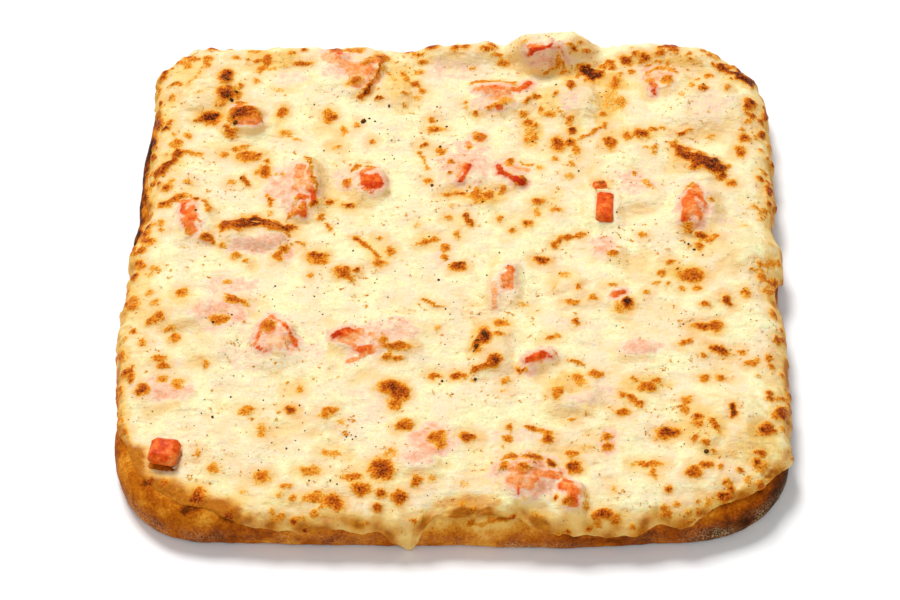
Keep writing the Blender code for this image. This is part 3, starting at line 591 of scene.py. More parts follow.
# Browned lines: x, y, end x, end y, width, tone
STREAKS = (
    (-120.5, -68, -120.5, -82, 2.5, 7), (28.5, -82, 37, -85, 1.8, 6), (63.5, -64, 70, -70, 3, 6.5),
    (103.9, -69, 103.9, -74, 1.8, 9), (-42, -6.4, -38, -10, 2.5, 6),
    (-10, -19, -3.3, -23.7, 0.9, 6), (16.4, -49.8, 9.8, -55, 2.5, 7), (44, -49, 49, -51, 0.8, 6),
    (-121.8, 65, -121.8, 54, 2.2, 8), (-122.5, 54, -122.5, 20, 1.2, 7),
    (-109.9, 59.4, -117.7, 46, 3, 8), (-107.7, 59.5, -100, 58, 2.5, 5),
    (-83.8, 44.4, -81, 41.1, 2, 7.5), (-106.3, 35, -114.5, 28, 4, 6.5),
    (-103.2, 34, -99, 33, 1.5, 7), (-99, 33, -95.5, 27, 1.5, 6), (-95.5, 12, -92.7, 9, 2.5, 6.5),
    (-72.7, 34, -72, 30.5, 1.5, 7), (-88.6, 17.5, -81, 20, 5.5, 7.5), (-81, 20, -76, 21.5, 6.5, 8.5),
    (-76, 21.5, -64.3, 17.8, 4.5, 8), (-64.3, 14.7, -61.8, 14, 1, 7),
    (-70.4, 47.8, -68.2, 47.2, 1, 5), (-59.4, 56.7, -55, 41, 1, 6.5),
    (-55, 41, -54.4, 30.5, 1, 5), (-62.2, 26, -64, 23, 1.5, 6), (-62, 19, -62.8, 17.8, 1.5, 8),
    (-60, 10, -57.8, 9, 1, 8), (-41, 51, -38.3, 53.8, 1.5, 5.5), (-38.3, 53.8, -34, 53, 1.5, 6),
    (-34, 53, -31.5, 51.5, 1.5, 5.5), (-50, 20.5, -48, 17, 1, 6), (-52, 3.3, -50, -0.5, 2, 6),
    (-37.8, 12.8, -34.2, 9.5, 2.2, 7.5), (-34.2, 9.5, -29.4, 4.5, 1.8, 6),
    (-29.4, 4.5, -27.8, -1.7, 2, 5.5), (-14.7, 62, -11.7, 52, 1.5, 5.5), (16.7, 55, 18, 50, 1, 4.5),
    (18, 50, 24.8, 46, 1, 3), (18.5, 44, 18.7, 39.5, 1.5, 6), (23.7, 57, 30.3, 56, 1.2, 5),
    (3.7, 27.2, 6.4, 21.1, 2, 7.5), (38.4, 10.3, 40.9, 14.4, 2.5, 6.5),
    (40.9, 14.4, 47, 16.1, 2.5, 6.5), (87, 68.5, 91, 62, 5, 7), (89, 65, 97, 59, 7.5, 8),
    (97, 59, 104, 56, 7, 8.5), (103, 57, 104.5, 51.5, 4.5, 8), (120, 56, 122.3, 52, 1.2, 6),
    (117.6, 33.3, 119.3, 26.7, 1.5, 4.5), (122.3, 32.8, 124, 26, 1.5, 5),
    (93.4, 46.1, 90, 41, 1.5, 5), (74, 48.3, 77.3, 43.3, 3, 4), (113.7, 0.3, 117.9, -1.1, 1, 6),
    (-104.9, 110.8, -110.4, 100.8, 1.8, 4.5), (-118.2, 99, -114.3, 100.8, 1.5, 7.5),
    (-93.2, 75.2, -89.9, 70.2, 4, 6.5), (-79, 118, -80, 113, 3, 6.5),
    (-65.4, 113.8, -61, 114.7, 1.5, 6), (-68.8, 70.8, -63.2, 66.9, 2, 4),
    (-107, 95, -99.9, 98, 1, 3.5), (-32.2, 116.3, -34.4, 106.3, 1.3, 7),
    (-34.4, 106.3, -37.2, 99.7, 1.5, 7), (-37.2, 99.7, -39.4, 94.1, 1.8, 8),
    (-32.2, 111.9, -26.1, 105.8, 1, 4), (-23.6, 109.1, -20.6, 104, 2.5, 5.5),
    (-31.7, 95, -33.3, 93, 1.2, 8), (45.3, 129.7, 47, 125.8, 2.5, 7),
    (42.3, 118.6, 39.2, 114.7, 2.2, 6), (39.2, 114.7, 35.9, 110.5, 2.2, 5.5),
    (51.2, 113.7, 54.2, 107.9, 6, 9), (54.2, 107.9, 57, 110.3, 5, 8.5),
    (61.7, 118, 62.6, 114.7, 3.5, 7), (40.3, 89, 43.1, 84, 1, 4.5), (43.1, 84, 45.9, 75.8, 1, 4.5),
    (58.7, 80.2, 49.8, 71, 1.2, 5.5), (31.5, 95.8, 29, 95, 2, 7), (29, 95, 26.7, 91.3, 2, 7),
    (5.3, 102.4, 10.9, 104.4, 1.6, 5.5), (10.9, 104.4, 19.8, 104.1, 1.6, 5.5),
    (19.8, 104.1, 23.7, 101, 1.6, 6), (81.8, 127.7, 94.6, 130.8, 2.5, 8),
    (99, 127.7, 100.7, 126.6, 1.8, 7), (106.2, 117.4, 110.7, 112.4, 4, 8),
    (113.4, 112.4, 119, 106.3, 4.5, 9), (77.9, 116.9, 81.8, 119.1, 1.5, 5.5),
    (81.8, 119.1, 86.2, 119.4, 1.5, 5.5), (76.8, 112.4, 81.2, 114.9, 1.5, 5.5),
    (81.2, 114.9, 85.1, 115.2, 1.5, 5.5), (85.1, 115.2, 89, 113, 1.5, 5.5),
    (116.8, 88.6, 120.7, 83.6, 2, 7), (89.6, 75.5, 93.4, 78.6, 1.5, 5),
    (79, 68, 77.9, 63.6, 2, 5.5), (9, -128, 16, -126.5, 1.6, 7.5), (16, -126.5, 23.5, -123, 2.4, 8),
)
# Colour of the tomato, bare or through the cheese: x, y, end x, end y, width, strength
TINTS = (
    (22.8, -101.3, 25.6, -109.9, 1.4, 0.55), (33.5, -104.5, 30.4, -110.4, 1.4, 0.6),
    (25.8, -109.9, 26.5, -113.9, 0.9, 0.9), (27.7, -102.9, 27.7, -103.1, 3.9, 0.6),
    (24.2, -106.5, 29.5, -108.7, 5.3, 0.35), (21.5, -99.6, 24.2, -103, 2.7, 0.4),
    (30.4, -101.7, 33, -102.8, 2.1, 0.45), (28.2, -109.8, 30.9, -110.3, 1.2, 0.6),
    (35.9, -104.2, 40.3, -104.7, 3.5, 0.6), (41.2, -109.3, 43, -110.4, 2.7, 0.65),
    (42.1, -106.9, 44.7, -108, 2.1, 0.5), (32.3, -104.9, 35.9, -103.6, 2.1, 0.5),
    (43.9, -109.3, 45.2, -113.9, 2.6, 0.7), (45.2, -114.4, 45.4, -117.9, 3.5, 0.65),
    (42.6, -108.8, 44.4, -109.9, 2.1, 0.5), (46.1, -109.8, 47, -112.1, 1.8, 0.45),
    (-67.3, -29.3, -69.8, -32.9, 1.5, 0.6), (-69.8, -32.9, -72.3, -43.8, 1.3, 0.6),
    (-67.3, -29.3, -62.3, -33.3, 0.9, 0.6), (-62.3, -33.3, -57.2, -42.1, 1.3, 0.65),
    (-57.6, -41.5, -56.9, -44, 1.3, 0.85), (-68.3, -34.8, -67.7, -36, 5.2, 0.6),
    (-71.7, -45.1, -67.9, -46.9, 1.5, 0.7), (-59.6, -46, -58.2, -46.6, 1.3, 0.6),
    (-65.5, -41.7, -61.7, -42.3, 5.6, 0.25), (-43.4, -38.7, -39.8, -36.1, 2.1, 1),
    (-41.6, -37.4, -38, -35.3, 2.1, 0.95), (-39.3, -37.6, -36.5, -36.2, 2.4, 0.7),
    (-37.4, -37.5, -33.3, -36.8, 3.4, 0.45), (-40.1, -40.2, -35.4, -40, 2.2, 0.35),
    (-33.2, -45.3, -30, -44.7, 3.5, 0.75), (-40.4, -41.2, -34.7, -43.6, 1.5, 0.45),
    (-37, -51.7, -29.9, -47.5, 1.7, 0.5), (-29.9, -47.5, -24.5, -42.3, 1.7, 0.45),
    (-29.4, -37.3, -25.5, -41.1, 1.9, 0.35), (21.9, -1.7, 22.4, -12.1, 2.5, 0.5),
    (19.7, -5.2, 19.6, -12.1, 1.9, 0.5), (20.9, -4.8, 22.8, -2.1, 1.7, 0.55),
    (16, -9.6, 16.5, -22.7, 2.1, 0.35), (29, -49, 34.6, -45.3, 2.2, 0.9),
    (34.6, -44.8, 37.3, -47.1, 1.5, 0.85), (30.4, -48.6, 35, -47.2, 1.8, 0.7),
    (32.3, -49.1, 34.1, -50.3, 1.8, 0.4), (61.2, -14.5, 64.5, -13.1, 2.1, 0.75),
    (59.8, -14.9, 62.1, -15.5, 1.3, 0.45), (-106, 31.8, -105.6, 25.6, 1.9, 0.9),
    (-105, 25.6, -102.1, 21.5, 2.1, 0.6), (-102.8, 28.4, -100.7, 21.5, 2.5, 0.6),
    (-106.5, 31.1, -102.7, 32.6, 1.4, 0.5), (-101, 24.3, -98.7, 20.9, 1.6, 0.5),
    (-102.5, 20.1, -101.2, 16, 1.8, 0.45), (-96.3, 12, -94.1, 10.7, 2.5, 0.6),
    (-104.2, 21.1, -100.7, 15.7, 3.9, 0.6), (-61.4, 51.7, -62.2, 41.6, 4, 0.45),
    (-58.3, 50.3, -55.9, 43.2, 1.8, 0.5), (-60.5, 45.9, -57.2, 40.3, 3, 0.4),
    (-60.8, 35.7, -58.9, 35.3, 2.9, 0.7), (-59.1, 31.8, -58.7, 24.8, 2.3, 0.65),
    (-63.6, 25.4, -60.7, 26.2, 2, 0.6), (-62.5, 31.7, -62.2, 27.5, 2.1, 0.4),
    (-55.9, 38.9, -55.3, 33.3, 2.3, 0.75), (-34.6, 45.9, -31.1, 43.9, 5.9, 0.85),
    (-33, 43.1, -31.5, 42.4, 4.3, 0.97), (-31.2, 48.1, -29.6, 45.3, 2.2, 0.75),
    (-37.2, 49.4, -36, 43.7, 2, 0.6), (-36.3, 50.9, -32.4, 52.7, 1.6, 0.55),
    (-35.8, 40.9, -32.8, 38.4, 1.8, 0.6), (-43.6, 43.4, -41.4, 43, 2, 0.5),
    (-42.5, 41.6, -42.1, 41.6, 1.6, 0.55), (-88.9, 85.1, -83.9, 85.2, 5, 0.6),
    (-88.5, 79.9, -82.4, 79.3, 6.1, 0.6), (-91, 85, -88.2, 88.1, 1.6, 0.6),
    (-44.5, 113.2, -40.9, 102.5, 5.1, 0.4), (-39.4, 113.3, -35, 107.2, 6.2, 0.45),
    (-35.4, 116.5, -32.4, 118.2, 3.1, 0.55), (-36.9, 104.1, -33.8, 104.2, 3.1, 0.35),
    (-55.2, 124.3, -49.9, 122.1, 3.1, 0.7), (-54.9, 118.8, -47.4, 114.4, 5.2, 0.35),
    (6.7, 100.3, 14.9, 101.8, 2, 0.6), (14.9, 101.8, 23, 100.8, 2, 0.6),
    (11.9, 98.6, 20, 98.1, 2.6, 0.4), (25.7, 102.1, 28.5, 104.3, 2.9, 0.85),
    (19.6, 100.4, 24.7, 100.2, 2.2, 0.5), (16.5, 90, 16.7, 89.7, 3.2, 0.7),
    (11.8, 89.2, 12, 88.9, 2, 0.65), (13.1, 94.7, 21.3, 94.9, 3, 0.25),
    (28.8, 123.2, 31.1, 127.6, 3, 0.95), (30.6, 126.4, 36.3, 129.7, 4.6, 1),
    (34.8, 128.8, 37.4, 128.8, 1.7, 1), (28, 129.8, 33.7, 132.4, 1.4, 0.5),
    (8.7, 71.9, 9.3, 71.3, 4.4, 0.6), (4.6, 67.9, 5, 66.8, 2, 0.5),
    (4.7, 54.8, 3.8, 50.2, 1.8, 0.95), (3.8, 50.2, 2.3, 46.2, 2.1, 0.95),
    (2.4, 55.9, 0.1, 50.1, 3.4, 0.3), (16.8, 54.9, 17.6, 51.6, 2, 0.85),
    (17.6, 51.6, 23.6, 48.1, 2.3, 0.9), (23.1, 48.4, 26.3, 45.4, 3, 1),
    (18.5, 56.6, 21.5, 58.2, 1.4, 0.6), (24.5, 53.9, 28.4, 52.6, 2.4, 0.35),
    (92.5, 42.3, 91.2, 33.8, 3.3, 0.75), (90.8, 35.2, 89.5, 26.8, 3.5, 0.6),
    (94.9, 42.3, 97.6, 35.3, 2.1, 0.6), (93.2, 35.2, 95.9, 28.3, 2.1, 0.5),
    (90.9, 38, 91.6, 31, 4.9, 0.55), (94.1, 45.1, 95.9, 42.4, 2.3, 0.6),
    (78, 107.1, 80, 104.1, 2.4, 0.6), (78.9, 101.8, 79.5, 99.2, 1.6, 0.85),
    (75.5, 110.1, 81.7, 111.8, 1.4, 0.35), (85.6, 107.9, 85.8, 107.3, 3.7, 0.35),
)
# Its paler tint round about: x, y, length, width, turn, strength
BLUSHES = (
    (-47, 113, 24, 20, -20, 0.36), (-3, 110, 26, 20, 0, 0.22), (-70, 105, 14, 10, 0, 0.22),
    (35, 127, 20, 12, 12, 0.5), (80, 112, 20, 16, 0, 0.4), (101, 93, 22, 24, 0, 0.2),
    (45, 97, 10, 18, 0, 0.22), (15, 101, 26, 8, 0, 0.5), (14, 92, 20, 12, 0, 0.33),
    (3, 56, 24, 26, 0, 0.36), (8, 63, 8, 6, 0, 0.4), (21, 52, 14, 14, 0, 0.42),
    (70, 47, 16, 14, -20, 0.34), (93, 34, 14, 28, 0, 0.52), (105, 26, 14, 10, 0, 0.15),
    (-65, 42, 24, 28, 0, 0.38), (-61, 46, 8, 22, 0, 0.45), (-42, 46, 16, 12, 0, 0.3),
    (-33, 46, 14, 16, 0, 0.45), (-102.5, 25, 9, 18, 0, 0.6), (-74, 9, 26, 12, 15, 0.4),
    (-64, 4, 8, 10, 0, 0.45), (58, 9.5, 12, 14, 0, 0.42), (-3, 6, 12, 20, 0, 0.2),
    (-88, -28, 26, 18, 0, 0.42), (-84, -14, 30, 12, 0, 0.28), (-65.5, -39, 16, 19, -14, 0.5),
    (-50, -47, 14, 10, 0, 0.2), (-28, -39, 30, 18, 15, 0.36), (-20, -34, 14, 12, 0, 0.32),
    (-41, -38, 9, 8, 0, 0.55), (-31.7, -45.3, 8, 7, 0, 0.5), (20, -9, 6, 20, -15, 0.42),
    (33, -47, 15, 7, 33, 0.55), (70, -42, 20, 9, 0, 0.42), (45, -30, 26, 12, 0, 0.14),
    (-75, -50, 24, 16, 0, 0.18), (-104, -67, 24, 12, 0, 0.42), (-30, -72, 30, 28, 0, 0.14),
    (-5, -89, 20, 16, 0, 0.48), (-10, -97, 16, 12, 0, 0.35), (28, -86, 24, 10, 0, 0.2),
    (29, -104, 24, 23, 0, 0.5), (46, -112, 8, 12, 0, 0.5), (58, -88, 8, 14, 0, 0.42),
    (52, -64, 26, 16, 0, 0.2), (39, -104, 8, 8, 0, 0.55), (63, -13.7, 7, 6, 0, 0.4),
    (-82, 10, 8, 6, 0, 0.4), (29, -54, 9, 8, 0, 0.35), (78.7, 102, 5, 8, 0, 0.5),
    (28, 103, 6, 8, 0, 0.6), (38, 118, 24, 12, 0, 0.4), (-46, 122, 20, 8, 0, 0.4),
)
# Where the cheese lies thin and oily, and baked golden: x, y, length, width, turn, strength
GOLDS = (
    (-112, 106, 16, 24, 0, 0.45), (-116, 78, 12, 34, 0, 0.4), (-112, 55, 18, 18, 0, 0.5),
    (-76, 118, 26, 12, 0, 0.6), (-25, 108, 16, 26, 0, 0.55), (-23, 88, 16, 16, 0, 0.3),
    (-72, 78, 10, 18, 0, 0.4), (-95, 64, 18, 8, 0, 0.4), (-84, 58, 16, 10, 0, 0.4),
    (30, 77, 10, 18, 0, 0.6), (36, 92, 12, 18, 0, 0.5), (60, 92, 14, 32, 0, 0.6),
    (75, 74, 18, 8, 0, 0.4), (48, 76, 8, 26, 0, 0.4), (113, 66, 10, 10, 0, 0.3),
    (121, 30, 10, 80, 0, 0.4), (-118, -20, 14, 50, 0, 0.35), (-30, 7, 18, 20, 0, 0.4),
    (-10, 12, 14, 12, 0, 0.35), (4, 24, 14, 14, 0, 0.35), (14, 37, 24, 9, 0, 0.5),
    (34, 34, 14, 12, 0, 0.35), (42, 13, 14, 9, 0, 0.35), (87, -2, 22, 10, 0, 0.6),
    (97, -32, 22, 9, 0, 0.35), (101, -44, 14, 8, -30, 0.35), (72, -59, 24, 9, 0, 0.5),
    (67, -68, 12, 12, 0, 0.3), (44, -60, 18, 14, 0, 0.6), (92, -78, 20, 22, 0, 0.45),
    (93, -93, 14, 14, 0, 0.4), (73, -100, 20, 9, 0, 0.35), (113, -90, 18, 34, 0, 0.55),
    (-60, -119, 56, 12, 0, 0.4), (-48, -106, 18, 12, 0, 0.3), (-30, -110, 24, 14, 0, 0.3),
    (-17, -108, 12, 16, 0, 0.25), (9, -118, 36, 9, 0, 0.8), (55, -123, 26, 9, 0, 0.45),
    (97, 16, 14, 12, 0, 0.4), (-100, -22, 16, 10, 0, 0.4), (-105, -40, 10, 12, 0, 0.3),
    (-117, -52, 8, 20, 0, 0.3), (120, -70, 10, 30, 0, 0.4), (90, 120, 30, 10, 0, 0.5),
    (112, 112, 20, 14, -50, 0.45), (70, 119, 16, 10, 0, 0.5), (119, 90, 10, 20, 0, 0.4),
    (18, 120, 30, 9, 0, 0.3), (38, 112, 30, 13, 0, 0.45), (-15, 120, 20, 10, 0, 0.3),
    (-97, 84, 24, 18, 0, 0.4), (10, -40, 8, 18, 0, 0.4), (62, 106, 20, 14, 0, 0.6),
    (46, 112, 12, 14, 0, 0.6),
)
# Grey-tan tint of the chicken under the cheese, partly painted shade on the lumps: x, y, length,
# width, strength
CHICKEN_AND_LUMP_SHADE = (
    (-104.3, 92, 10, 12, 0.6), (-103, 96, 24, 22, 0.3), (100.7, 91.3, 20, 25, 0.4),
    (46, 96, 20, 22, 0.35), (-28, 97, 14, 18, 0.35), (-100, -28, 24, 16, 0.3),
    (-92, -45, 18, 14, 0.3), (100, -75, 28, 30, 0.25), (15, -40, 14, 24, 0.4),
    (45, -66, 22, 14, 0.35), (109, 15, 20, 20, 0.3), (101, 43, 10, 10, 0.3),
    (-72.7, 62, 2, 8, 0.4),
)
# Creases between lumps: x, y, end x, end y, depth
CREASES = (
    (33, -19, 40, -15, 0.7), (40, -15, 50, -10, 0.7), (50, -10, 55, -8.5, 0.5),
    (24, -36, 28, -40, 0.6), (28, -40, 33, -41.5, 0.7), (33, -41.5, 54, -41, 0.6),
    (-104, -20, -104, -30, 0.6), (104, -71, 98, -89, 0.9),
)
CHEESE_CELLS = 310
TOP_SHARE = 0.832
LIP_SHARE = 0.8
LIP_SPREAD = 0.030
LIP_TURN = math.radians(125)
SPOT_RISE = 0.45 * MM
FLESH_RISE = 0.9 * MM
CREASE_WIDTH = 1.6 * MM
# Tomato with less film than this is bare; the other pieces push the cheese up in humps
BARE_FILM = 0.1
DICE_HALF = 0.42
HUMP = 1.25
# How browned one step of tone is, and how many millimetres round a spot turn golden
TONE_STEP = 0.1
HALO = 3.4
KNOB_COUNT = 270
# Where the cheese gives way to bare bread at the front left corner: bearing, millimetres out
BARE_CORNER = (
    (-147, 156), (-144, 144.6), (-141, 147.9), (-138.1, 145.2), (-134.7, 150.6), (-132.6, 149.3),
    (-130.9, 146.8), (-128, 146), (-125.8, 145.4), (-123, 141.3), (-120.8, 140.8), (-118.9, 145),
    (-116, 156),
)


def read_normals(mesh):
    found = np.empty(len(mesh.vertices) * 3)
    mesh.vertices.foreach_get("normal", found)
    return found.reshape(-1, 3)


def turned(off_x, off_y, turn):
    """Offsets along and across a thing that lies turned by this many degrees."""
    angle = math.radians(turn)
    along = off_x * math.cos(angle) + off_y * math.sin(angle)
    return along, off_y * math.cos(angle) - off_x * math.sin(angle)


def mound_height(x, y):
    total = np.zeros_like(x)
    for sight_x, sight_y, length, width, turn, rise in MOUNDS:
        mid_x, mid_y = laid_at(sight_x, sight_y, PLATEAU_Z + rise * MM)
        along, aside = turned(x - mid_x, y - mid_y, turn)
        along = np.abs(along) / (length * MM / 2)
        aside = np.abs(aside) / (width * MM / 2)
        fall = np.clip((MOUND_REACH - np.cbrt(along**3 + aside**3)) / MOUND_SLOPE, 0, 1)
        lift = rise * MM * fall * fall * (3 - 2 * fall)
        total = np.maximum(total, lift) + MOUND_HEAP * np.minimum(total, lift)
    return total


def cheese_level(x, y, bearing, inside):
    """Height of the cheese over a point in plan, with its share of the way in from the rim."""
    roll = 1 - np.exp(-inside * -SIDE_LEFT / ROLL_LENGTH)
    wave = np.sin(x * 61 + 1.3) * np.cos(y * 53 - 0.4) + 0.6 * np.sin(x * 118 - y * 97)
    rim = SHOULDER_Z + RIM_FRONT + (RIM_BACK - RIM_FRONT) * (1 + np.sin(bearing)) / 2
    level = PLATEAU_Z + PLATEAU_SLOPE * y + 0.7 * MM * wave
    mounds = mound_height(x, y) * (MOUND_AT_RIM + (1 - MOUND_AT_RIM) * roll)
    return rim + (level - rim) * roll + mounds


def spot_distance(across, ahead, x, y, length, width, turn):
    """Distance from a spot's middle in half sizes, on the sight plane."""
    along, aside = turned(across - x * MM, ahead - y * MM, turn)
    return np.hypot(along / (length * MM / 2), aside / (width * MM / 2))


def streak_distance(across, ahead, x, y, end_x, end_y):
    """Distance in metres from a line on the sight plane."""
    run_x, run_y = (end_x - x) * MM, (end_y - y) * MM
    off_x, off_y = across - x * MM, ahead - y * MM
    share = np.clip((off_x * run_x + off_y * run_y) / (run_x**2 + run_y**2), 0, 1)
    return np.hypot(off_x - share * run_x, off_y - share * run_y)


def faces_eye(points, normals):
    """1 where a surface is turned towards the eye, 0 where it is turned away."""
    sight = np.array(EYE) - points
    sight /= np.linalg.norm(sight, axis=1, keepdims=True)
    return eased((sight * normals).sum(axis=1), -0.05, 0.2)


# Middle, size and tone of the browned knobs on the edge, found once the edge is laid
rim_spots = []


def toast_at(points, normals):
    """How browned each point is, and how golden round the browned spots and streaks."""
    across, ahead = seen_at(points)
    across = across + MM * layered(points, (1.2, 3.4, 21), (0.8, 1.3, 22))
    ahead = ahead + MM * layered(points, (1.2, 3.4, 23), (0.8, 1.3, 24))
    toast = np.zeros(len(points))
    halo = np.zeros(len(points))
    rows = [(x, y, length, width, 0, tone) for x, y, length, width, tone in SPOTS]
    for x, y, length, width, turn, tone in rows + list(TURNED_SPOTS):
        near = np.hypot(across - x * MM, ahead - y * MM) < (max(length, width) / 2 + HALO) * MM
        far = spot_distance(across[near], ahead[near], x, y, length + 1.5, width + 1.4, turn)
        toast[near] = np.maximum(toast[near], tone * TONE_STEP * (1 - eased(far, 0.35, 1.3)))
        past = (far - 1) * min(length, width) / 2
        golden = (1 - eased(past, -0.5, HALO)) ** 1.6
        halo[near] = np.maximum(halo[near], tone * TONE_STEP * golden)
    uneven = 1 + 0.9 * lumps(points, 3 * MM, 19)
    for x, y, end_x, end_y, width, tone in STREAKS:
        far = streak_distance(across, ahead, x, y, end_x, end_y) / MM
        ragged = far / (width / 2 + 0.45) / uneven
        toast = np.maximum(toast, tone * TONE_STEP * (1 - eased(ragged, 0.3, 1.3)))
        halo = np.maximum(halo, tone * TONE_STEP * (1 - eased(far - width / 2, -0.5, HALO)))
    shown = faces_eye(points, normals)
    toast, halo = toast * shown, halo * shown
    for spot, size, tone in rim_spots:
        far = np.linalg.norm(points - spot, axis=1) / (size / 2)
        toast = np.maximum(toast, tone * (1 - eased(far, 0.2, 1.35)))
        halo = np.maximum(halo, tone * (1 - eased(far, 0.6, 2.2)))
    return toast, halo


def red_at(points, normals):
    """How pink each point is over tomato, how much tomato shows there, and how red it is."""
    across, ahead = seen_at(points)
    across = across + 0.7 * MM * lumps(points, 3.0 * MM, 25)
    ahead = ahead + 0.7 * MM * lumps(points, 3.0 * MM, 26)
    blush = np.zeros(len(points))
    patchy = layered(points, (0.4, 7, 27), (0.3, 2.6, 33))
    for x, y, length, width, turn, strength in BLUSHES:
        far = spot_distance(across, ahead, x, y, length, width, turn) + patchy
        blush = np.maximum(blush, strength * (1 - eased(far, 0.4, 1.35)))
    flesh = np.zeros(len(points))
    total = np.full(len(points), 1e-6)
    red = np.zeros(len(points))
    for x, y, end_x, end_y, width, strength in TINTS:
        far = streak_distance(across, ahead, x, y, end_x, end_y) / MM - width / 2
        near = 1 - eased(far, -0.9, 0.9)
        flesh = np.maximum(flesh, near)
        wide = (1 - eased(far, -1.0, 3.5)) ** 3
        total += wide
        red += wide * strength
        blush = np.maximum(blush, strength * 0.5 * (1 - eased(far, 0.0, 4.0)))
    shown = faces_eye(points, normals)
    return blush * shown, flesh * shown, red / total


shape = bmesh.new()
bmesh.ops.create_grid(shape, x_segments=CHEESE_CELLS, y_segments=CHEESE_CELLS, size=1.0)
flat = np.array([vert.co[:2] for vert in shape.verts])
square = np.abs(flat).max(axis=1)
bearing = np.arctan2(flat[:, 1], flat[:, 0])
on_top = square <= TOP_SHARE
inner = np.minimum(square / TOP_SHARE, 1)
even = -SIDE_LEFT - SHOULDER_IN
blend = inner**3
shoulder = side_points(bearing, np.zeros(len(flat)), np.zeros(len(flat)))[:, :2]
plan = flat / TOP_SHARE * even * (1 - blend)[:, None] + shoulder * (inner * blend)[:, None]
top_z = cheese_level(plan[:, 0], plan[:, 1], bearing, 1 - inner)
rim_z = cheese_level(shoulder[:, 0], shoulder[:, 1], bearing, np.zeros(len(flat)))
turns = np.degrees(bearing)
corner = np.exp(-(((turns - BARE_BEARING) / 15) ** 4))
thin_z = SHOULDER_Z + 0.25 * MM
top_z += (thin_z - top_z) * corner * eased(inner, 0.74, 1.0)
rim_z += (thin_z - rim_z) * corner
rim_points = np.column_stack([shoulder, np.zeros(len(flat))])
lobes = layered(rim_points, (0.036, 7, 7), (0.028, 3, 8))
drop = np.maximum(np.interp(turns, *zip(*EDGE_DROPS)) + lobes, 0.01)
down = np.clip((square - TOP_SHARE) / (1 - TOP_SHARE), 0, 1)
part = np.minimum(down / LIP_SHARE, 1)
round_lip = np.clip((down - LIP_SHARE) / (1 - LIP_SHARE), 0, 1) * LIP_TURN
thick = (rim_z - SHOULDER_Z) * (1 - part) ** 1.3
thick += EDGE_THICK * (1 - 0.9 * corner) * part * np.cos(round_lip)
knobs = np.maximum(layered(rim_points, (1.5, 5.5, 15), (0.9, 2.4, 16)), -0.3)
thick += MM * knobs * (1 - corner) * np.sin(np.minimum(down, 0.9) / 0.9 * math.pi)
skirt = side_points(bearing, drop * part + LIP_SPREAD * np.sin(round_lip), thick)
points = np.where(on_top[:, None], np.column_stack([plan, top_z]), skirt)
for vert, point in zip(shape.verts, points.tolist()):
    vert.co = point
mesh = finished_mesh("cheese", shape)
points = read_points(mesh)
normals = read_normals(mesh)
if normals[np.argmax(points[:, 2])][2] < 0:
    mesh.flip_normals()
    normals = read_normals(mesh)
# The knobs lie all round, but not at the bare corner nor over the thin film in front
source = random.Random(5)
bare = (np.abs(wrapped(turns - BARE_BEARING)) < 18) | (np.abs(wrapped(turns + 85)) < 12)
edge = np.flatnonzero((square > 0.80) & (square < 0.97) & ~bare)
for pick in source.sample(edge.tolist(), KNOB_COUNT):
    rim_spots.append((points[pick], source.uniform(2.0, 6.5) * MM, source.uniform(0.30, 0.88)))
lip = eased(down, 0.75, 0.95)
toast, halo = toast_at(points, normals)
ridges = layered(points, (0.95, 12, 9), (0.55, 4.6, 10), (0.20, 1.8, 11))
strings = lumps(points * [0.4, 1.4, 1.0], 3.4 * MM, 12)
ridges += 0.34 * (1 - 2 * np.abs(strings)) * eased(lumps(points, 26 * MM, 14), -0.2, 0.3)
relief = ridges * MM * (1 - 0.5 * lip) + SPOT_RISE * eased(toast, 0.3, 0.7)
relief *= 1 - 0.9 * corner * eased(square, 0.79, 0.85)
across, ahead = seen_at(points)
_, flesh, red = red_at(points, normals)
relief += FLESH_RISE * flesh * red * (0.7 + 0.6 * lumps(points, 2.2 * MM, 28))
for x, y, end_x, end_y, depth in CREASES:
    far = streak_distance(across, ahead, x, y, end_x, end_y) / CREASE_WIDTH
    relief -= depth * MM * np.exp(-far * far)
# Grey-tan tint over the chicken lumps, partly the chicken's own colour and partly painted shade
chicken = np.zeros(len(points))
for x, y, length, width, strength in CHICKEN_AND_LUMP_SHADE:
    far = spot_distance(across, ahead, x, y, length, width, 0)
    chicken = np.maximum(chicken, strength * (1 - eased(far, 0.5, 1.15)))


def dice_middle(sight_x, sight_y, over):
    """Plan point of a tomato piece that stands this many millimetres over the cheese."""
    top = PLATEAU_Z
    for _ in range(16):
        x, y = laid_at(sight_x, sight_y, top)
        angle = np.array([math.atan2(y, x)])
        inside = np.maximum(1 - math.hypot(x, y) / outline_reach(angle), 0.03)
        level = cheese_level(np.array([x]), np.array([y]), angle, inside)
        top = (top + float(level[0]) + over * MM) / 2
    return x, y


# Cheese dips under a bare piece, with a low wall round it, and humps over a filmed one
bare_near = np.zeros(len(points))
for _, sight_x, sight_y, length, width, turn, over, film in TOMATOES:
    x, y = dice_middle(sight_x, sight_y, over)
    along, aside = turned(points[:, 0] - x, points[:, 1] - y, turn)
    past_end = np.abs(along) - length * MM * DICE_HALF
    past_side = np.abs(aside) - width * MM * DICE_HALF
    out = np.hypot(np.maximum(past_end, 0), np.maximum(past_side, 0))
    out = out + np.minimum(np.maximum(past_end, past_side), 0)
    if film < BARE_FILM:
        relief += np.exp(-((out / (2.0 * MM)) ** 2)) * 0.3 * MM
        relief -= (1 - eased(out, 0.0, 1.0 * MM)) * 1.2 * MM
        bare_near = np.maximum(bare_near, 1 - eased(out, 1.0 * MM, 3.5 * MM))
        continue
    wide = out / MM + 1.3 * lumps(points, 4.5 * MM, 13)
    relief += (1 - eased(wide, -2.2, 2.6)) * (1 - down) * over * HUMP * MM
points = points + normals * relief[:, None]
write_points(mesh, points)
write_field(mesh, "toast", toast)
